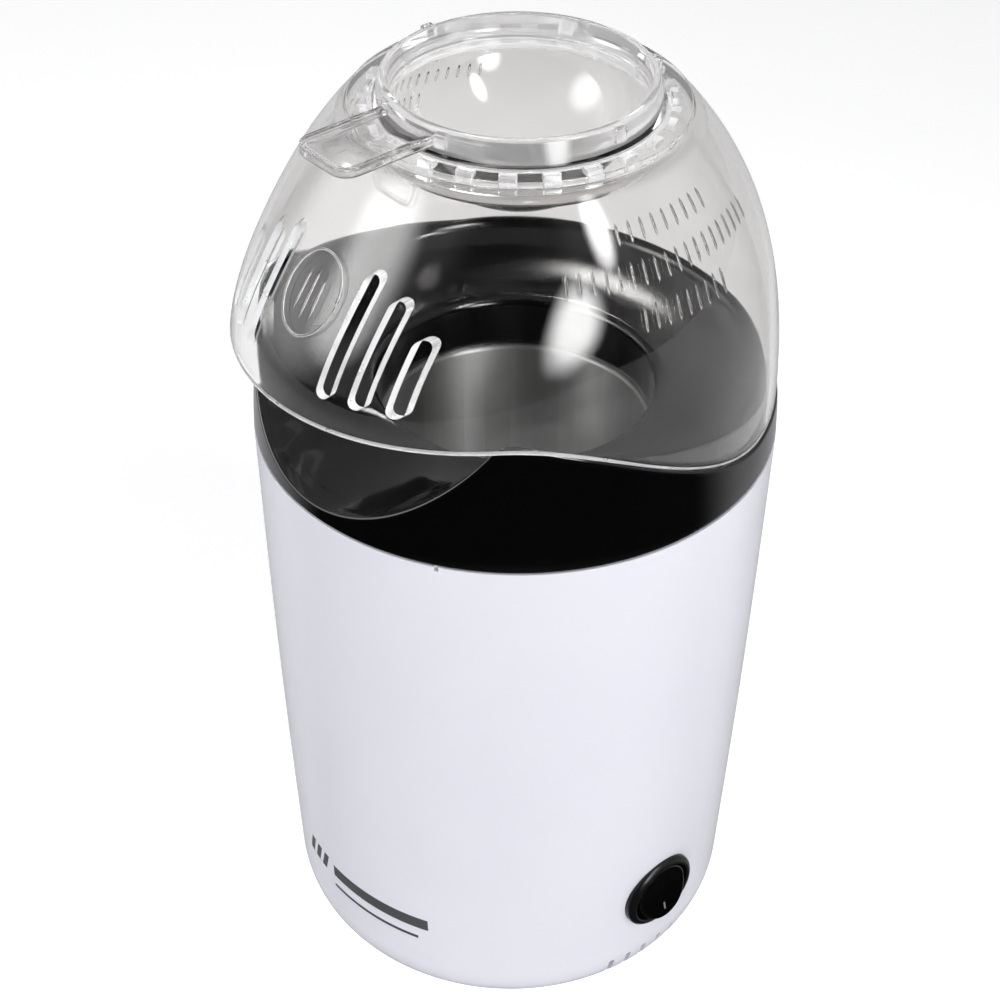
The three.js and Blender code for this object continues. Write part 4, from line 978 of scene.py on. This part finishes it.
WALL_TILT = math.atan2(HOUSING_TOP_RADIUS - HOUSING_SHOULDER_RADIUS, HOUSING_TOP - HOUSING_SHOULDER_HEIGHT)
SWITCH_WALL = housing_radius(SWITCH_HEIGHT)
SWITCH_PIVOT = -2.4             # the rocker's pivot, from the wall's face
SWITCH_TURN = Matrix.Rotation(math.pi / 2 + WALL_TILT, 3, "Y")


def on_switch(x, y, z):
    """x runs down the wall, y towards the back and z out of the wall, from the switch's middle."""
    return AXIS + (Vector((SWITCH_WALL, 0, SWITCH_HEIGHT)) + SWITCH_TURN @ Vector((x, y, z))) * MM


def on_switch_round(bearing, radius, height):
    angle = math.radians(bearing)
    return on_switch(radius * math.cos(angle), radius * math.sin(angle), height)


def on_rocker(x, y, z):
    tipped = Matrix.Rotation(-ROCKER_TILT, 3, "Y") @ Vector((x, y, z))
    return on_switch(tipped.x, tipped.y, tipped.z + SWITCH_PIVOT)


def switch_bezel():
    rise, drop = SWITCH_FLANGE_RISE, SWITCH_FLANGE_DROP
    well = SWITCH_FLOOR - SWITCH_DEPTH
    profile = filleted([
        (0, -SWITCH_DEPTH, 0), (SWITCH_BARREL, -SWITCH_DEPTH, 0.4), (SWITCH_BARREL, -drop, 0.2),
        (SWITCH_FLANGE_RADIUS, -drop, 0.2), (SWITCH_FLANGE_RADIUS, rise - 1.2, 0.6),
        (SWITCH_FLANGE_RADIUS - 1.2, rise, 0.9), (SWITCH_BORE, rise, 0.7), (SWITCH_BORE, well, 0.2),
        (0, well, 0),
    ], closed=False)
    ring = turned("bezel_ring", profile, 128, on_switch_round)
    low, high = SWITCH_HEIGHT - 20, SWITCH_HEIGHT + 20
    wall = [(housing_radius(z) + 0.05, z) for z in between(low, high, 20)]
    behind = turned("behind", [(0, low)] + wall + [(0, high)])
    bore = drilled(SWITCH_BARREL + 0.1, -30, 12)
    combine(behind, turned("bore", bore, 96, on_switch_round), "DIFFERENCE")
    return combine(ring, behind, "DIFFERENCE")


def rocker_face(x):
    """Height of the rocker's face over its pivot: two flats that meet in a soft valley."""
    return ROCKER_FACE + math.tan(ROCKER_KINK) * (math.sqrt(x * x + 0.25) - 0.5)


def switch_rocker():
    """A round cap: rings from the face's middle out to its rounded rim, and a narrower end inside."""
    steps = 128
    flat = ROCKER_RADIUS - ROCKER_EDGE
    rings = [(share * flat, 0) for share in between(0, 1, 24)[1:]]
    rings += [(flat + x, ROCKER_EDGE - y) for x, y in arc(0, 0, ROCKER_EDGE, 60, 0, 2)]
    points = [(0, 0, rocker_face(0))]
    for reach, drop in rings:
        points += [(x, y, rocker_face(x) - drop) for x, y in arc(0, 0, reach, 0, 360, steps)[:-1]]
    points += [(x, y, ROCKER_BOTTOM) for x, y in arc(0, 0, ROCKER_END_RADIUS, 0, 360, steps)[:-1]]
    bottom = len(points)
    points.append((0, 0, ROCKER_BOTTOM))
    faces = []
    for i in range(steps):
        j = (i + 1) % steps
        faces.append((0, 1 + i, 1 + j))
        for start in range(1, bottom - steps, steps):
            faces.append((start + i, start + steps + i, start + steps + j, start + j))
        faces.append((bottom, bottom - steps + j, bottom - steps + i))
    return new_object("rocker_cap", [on_rocker(*point) for point in points], faces)


def rocker_mark():
    """The plain bar printed on the half that switches on."""
    def on_face(x, y, z):
        return on_rocker(x, y, rocker_face(x) + z)

    return prism("rocker_bar", rectangle(*ROCKER_BAR, 0.2), PRINT_LOW, PRINT_HIGH, on_face)


# ---- marks on the surfaces


def on_housing(along, height, lift):
    """A point over the housing's surface, so many millimetres round it from the front."""
    radius = housing_radius(height)
    return at(math.degrees(along / radius), radius + lift, height)


def printed_patch(name, outline_at, steps):
    """A thin patch that follows the housing: outline_at(0 to 1) gives a point on both of its edges."""
    vertices, faces = [], []
    for i in range(steps + 1):
        (x0, z0), (x1, z1) = outline_at(i / steps)
        for x, z in ((x0, z0), (x1, z1)):
            vertices += [on_housing(x, z, PRINT_LOW), on_housing(x, z, PRINT_HIGH)]
    for i in range(steps):
        a, b = 4 * i, 4 * (i + 1)
        faces += [(a, b, b + 1, a + 1), (a + 1, b + 1, b + 3, a + 3),
                  (a + 3, b + 3, b + 2, a + 2), (a + 2, b + 2, b, a)]
    last = 4 * steps
    faces += [(0, 1, 3, 2), (last, last + 2, last + 3, last + 1)]
    return new_object(name, vertices, faces)


def printed_block(left, right, low, high, slant=0):
    """A printed block; slant moves its upper edge sideways."""
    def edges(t):
        z = low + (high - low) * t
        return (left + slant * t, z), (right + slant * t, z)

    def spans(t):
        x = left + (right - left) * t
        return (x, low), (x, high)

    return printed_patch("block", edges if slant else spans, 24)


def front_print():
    """Three slanting strokes, a long bar and a thin line, printed low on the front."""
    blocks = [printed_block(x, x + STROKE_WIDTH, *STROKE_HEIGHTS, STROKE_SLANT) for x in STROKE_STARTS]
    blocks += [printed_block(*BAR_SPAN), printed_block(*LINE_SPAN)]
    return merged(blocks, "front_print")


def on_cover(bearing, height, lift=0):
    return at(bearing, cover_radius(bearing, height) + lift, height)


def raised_rod(points):
    """A fine round rib that follows (bearing, height) points on the cover, thinner at its ends."""
    steps, sides = len(points), 8
    vertices, faces = [], []
    for i, point in enumerate(points):
        spread = RIB_RADIUS * MM * (0.15 if i in (0, steps - 1) else 1)
        along = on_cover(*points[min(steps - 1, i + 1)]) - on_cover(*points[max(0, i - 1)])
        out = (on_cover(*point, 1) - on_cover(*point)).normalized()
        across = along.cross(out).normalized()
        for angle in around(sides):
            a = math.radians(angle)
            vertices.append(on_cover(*point) + (across * math.cos(a) + out * math.sin(a)) * spread)
    for i in range(steps - 1):
        here, there = i * sides, (i + 1) * sides
        for side in range(sides):
            k = (side + 1) % sides
            faces.append((here + side, here + k, there + k, there + side))
    faces.append(tuple(reversed(range(sides))))
    faces.append(tuple(range((steps - 1) * sides, steps * sides)))
    return new_object("rib", vertices, faces)


def side_ribs():
    """Three rows of short upright ribs on each side of the cover."""
    pieces = []
    for side in (90, 270):
        for low, high, spread, count in SIDE_RIB_ROWS:
            for offset in between(-spread, spread, count - 1):
                pieces.append(raised_rod([(side + offset, z) for z in between(low, high, 6)]))
    return merged(pieces, "side_ribs")


def hood_mark():
    """A raised ring with three short ribs inside, on the middle of the hood."""
    middle = HOOD_MARK_HEIGHT
    ring = arc(0, middle, HOOD_MARK_RADIUS, 0, 360, 48)
    pieces = [raised_rod([(math.degrees(x / cover_radius(0, z)), z) for x, z in ring])]
    for offset, reach in ((-3, 4.4), (0, 5.4), (3, 4.4)):
        bearing = math.degrees(offset / cover_radius(0, middle))
        pieces.append(raised_rod([(bearing, z) for z in between(middle - reach, middle + reach, 6)]))
    return merged(pieces, "hood_mark")


# ---- CAD nodes that stay

NODE_MATERIALS = {
    "chamber_clamp": STEEL, "air_jacket": STEEL, "motor_shaft": STEEL, "motor_can": STEEL,
    "clamp_screw": STEEL, "motor_screw": STEEL, "mica_board": MICA, "heater_coil": WIRE,
    "thermostat": BLACK_SATIN, "thermal_fuse": BRASS, "air_guide": BLACK_NYLON, "fan_wheel": BLACK_NYLON,
    "motor_end_cap": BLACK_NYLON, "rectifier_board": BOARD, "diode": BLACK_SATIN,
    "switch_terminal": BRASS, "lead": SLEEVE,
}


def finish_nodes():
    """Gives each CAD node that is still shown its material."""
    for name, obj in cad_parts.items():
        if obj.hide_render:
            continue
        family = next(key for key in NODE_MATERIALS if name.startswith(key))
        coat(obj, NODE_MATERIALS[family])


# ---- studio


def camera():
    data = bpy.data.cameras.new("camera")
    data.lens = CAMERA_LENS
    data.sensor_width = 36
    data.clip_start = 0.01
    obj = bpy.data.objects.new("camera", data)
    bpy.context.scene.collection.objects.link(obj)
    right = Vector((math.cos(CAMERA_AZIMUTH), math.sin(CAMERA_AZIMUTH), 0))
    away = Vector((-math.sin(CAMERA_AZIMUTH), math.cos(CAMERA_AZIMUTH), 0))
    obj.location = AXIS + (right * CAMERA_RIGHT - away * CAMERA_BACK + Vector((0, 0, CAMERA_UP))) * MM
    look = away * math.cos(CAMERA_PITCH) - Vector((0, 0, math.sin(CAMERA_PITCH)))
    level = look.to_track_quat("-Z", "Y").to_matrix()
    obj.rotation_euler = (level @ Matrix.Rotation(CAMERA_ROLL, 3, "Z")).to_euler()
    bpy.context.scene.camera = obj


def toward(bearing, elevation):
    """The direction from the body to something round it."""
    angle, height = math.radians(bearing), math.radians(elevation)
    level = Vector((math.sin(angle), -math.cos(angle), 0))
    return level * math.cos(height) + Vector((0, 0, math.sin(height)))


def softened(data):
    """Lets a lamp fade towards its edges, as a diffuser's cloth does."""
    data.use_nodes = True
    tree = data.node_tree
    place = add_node(tree, "ShaderNodeNewGeometry")["Parametric"]
    offset = add_node(tree, "ShaderNodeVectorMath", {0: place, 1: LAMP_MIDDLE}, operation="DISTANCE")["Value"]
    strength = map_range(tree, offset, LAMP_CORE, LAMP_EDGE, 1, 0)
    tree.links.new(strength, tree.nodes["Emission"].inputs["Strength"])


def softbox(name, bearing, elevation, distance, size, radiance):
    """An oval lamp round the body, aimed at the collar, that fades towards its edge."""
    data = bpy.data.lights.new(name, "AREA")
    data.shape = "ELLIPSE"
    data.size, data.size_y = size
    data.energy = radiance * math.pi * size[0] * size[1]
    softened(data)
    obj = bpy.data.objects.new(name, data)
    obj.visible_camera = False
    bpy.context.scene.collection.objects.link(obj)
    out = toward(bearing, elevation)
    obj.location = AXIS + Vector((0, 0, HOUSING_TOP * MM)) + out * distance
    obj.rotation_euler = (-out).to_track_quat("-Z", "Y").to_euler()


def flagged(tree, direction, strength, bearing, elevation, inner, outer):
    """The sky's strength, darkened round one direction as a black studio flag does."""
    inputs = {0: direction, 1: toward(bearing, elevation)}
    near = add_node(tree, "ShaderNodeVectorMath", inputs, operation="DOT_PRODUCT")["Value"]
    edge, core = math.cos(math.radians(outer)), math.cos(math.radians(inner))
    kept = map_range(tree, near, edge, core, 1, FLAG_LEVEL)
    return add_node(tree, "ShaderNodeMath", {0: strength, 1: kept}, operation="MULTIPLY")["Value"]


def sky_strength(tree):
    """A grey sky, brighter below the horizon, with dark flags behind the body and round the camera."""
    direction = add_node(tree, "ShaderNodeTexCoord")["Generated"]
    height = add_node(tree, "ShaderNodeSeparateXYZ", {0: direction})["Z"]
    strength = map_range(tree, height, -0.06, 0.04, SKY_GROUND, SKY_LEVEL)
    for flag in FLAGS:
        strength = flagged(tree, direction, strength, *flag)
    return strength


def looked_at(tree):
    """1 for light that reaches the view without a mirror or diffuse bounce, else 0."""
    rays = add_node(tree, "ShaderNodeLightPath")
    depths = {0: rays["Glossy Depth"], 1: rays["Diffuse Depth"]}
    bounces = add_node(tree, "ShaderNodeMath", depths, operation="ADD")["Value"]
    return add_node(tree, "ShaderNodeMath", {0: bounces, 1: 0.5}, operation="LESS_THAN")["Value"]


def sky():
    """The sky that lights the scene, and a pale backdrop in the far floor's tone to look at."""
    world = bpy.data.worlds.new("world")
    world.use_nodes = True
    tree = world.node_tree
    background = tree.nodes["Background"]
    background.inputs["Color"].default_value = SKY_COLOUR
    tree.links.new(sky_strength(tree), background.inputs["Strength"])
    backdrop = add_node(tree, "ShaderNodeBackground", {"Color": BACKDROP_COLOUR})[0]
    inputs = {0: looked_at(tree), 1: background.outputs[0], 2: backdrop}
    mix = add_node(tree, "ShaderNodeMixShader", inputs)[0]
    tree.links.new(mix, tree.nodes["World Output"].inputs["Surface"])
    bpy.context.scene.world = world


def studio():
    for lamp in LAMPS:
        softbox(*lamp)
    sky()
    bpy.context.scene.view_settings.view_transform = "Standard"
    light_paths = bpy.context.scene.cycles
    light_paths.max_bounces = GLASS_BOUNCES
    light_paths.glossy_bounces = GLASS_BOUNCES
    light_paths.transmission_bounces = GLASS_BOUNCES


def floor():
    outline = rectangle(-FLOOR_REACH, FLOOR_REACH, -FLOOR_REACH, FLOOR_REACH)
    obj = new_object("floor", [plain(x, y, 0) for x, y in outline], [tuple(range(len(outline)))])
    coat(obj, FLOOR)
    obj.visible_glossy = False


# ---- assembly

camera()
studio()
floor()

finished(housing(), WHITE, "body", "white_shell", "housing")
finished(collar(), BLACK_GLOSS, "body", "black_gloss", "collar", sharp=60)
finished(cover(), CLEAR, "cover", "clear_plastic", "cover")
finished(side_ribs(), CLEAR, "cover", "clear_plastic", sharp=60)
finished(hood_mark(), CLEAR, "cover", "clear_plastic", sharp=60)
finished(measuring_cup(), CLEAR_CUP, "measuring_cup", "clear_plastic", "measuring_cup")
finished(popping_chamber(), ALUMINIUM, "body", "polished_aluminium", "popping_chamber")
finished(base_plate(), WHITE, "body", "white_shell", "base_plate")
for index, bearing in enumerate(FOOT_BEARINGS, 1):
    finished(foot(index, bearing), RUBBER, "body", "rubber", f"foot_{index}")
for index, bearing in enumerate(SCREW_BEARINGS, 1):
    finished(base_screw(index, bearing), STEEL, "body", "steel", f"base_screw_{index}")
finished(cord_gland(), BLACK_SATIN, "body", "black_satin", "cord_gland")
finished(switch_bezel(), BLACK_SATIN, "body", "black_satin", "switch_bezel")
finished(switch_rocker(), BLACK_GLOSS, "rocker", "black_gloss", "switch_rocker")
finished(rocker_mark(), MARK, "rocker", "white_shell")
finished(front_print(), PRINT, "body", "black_satin")
finish_nodes()
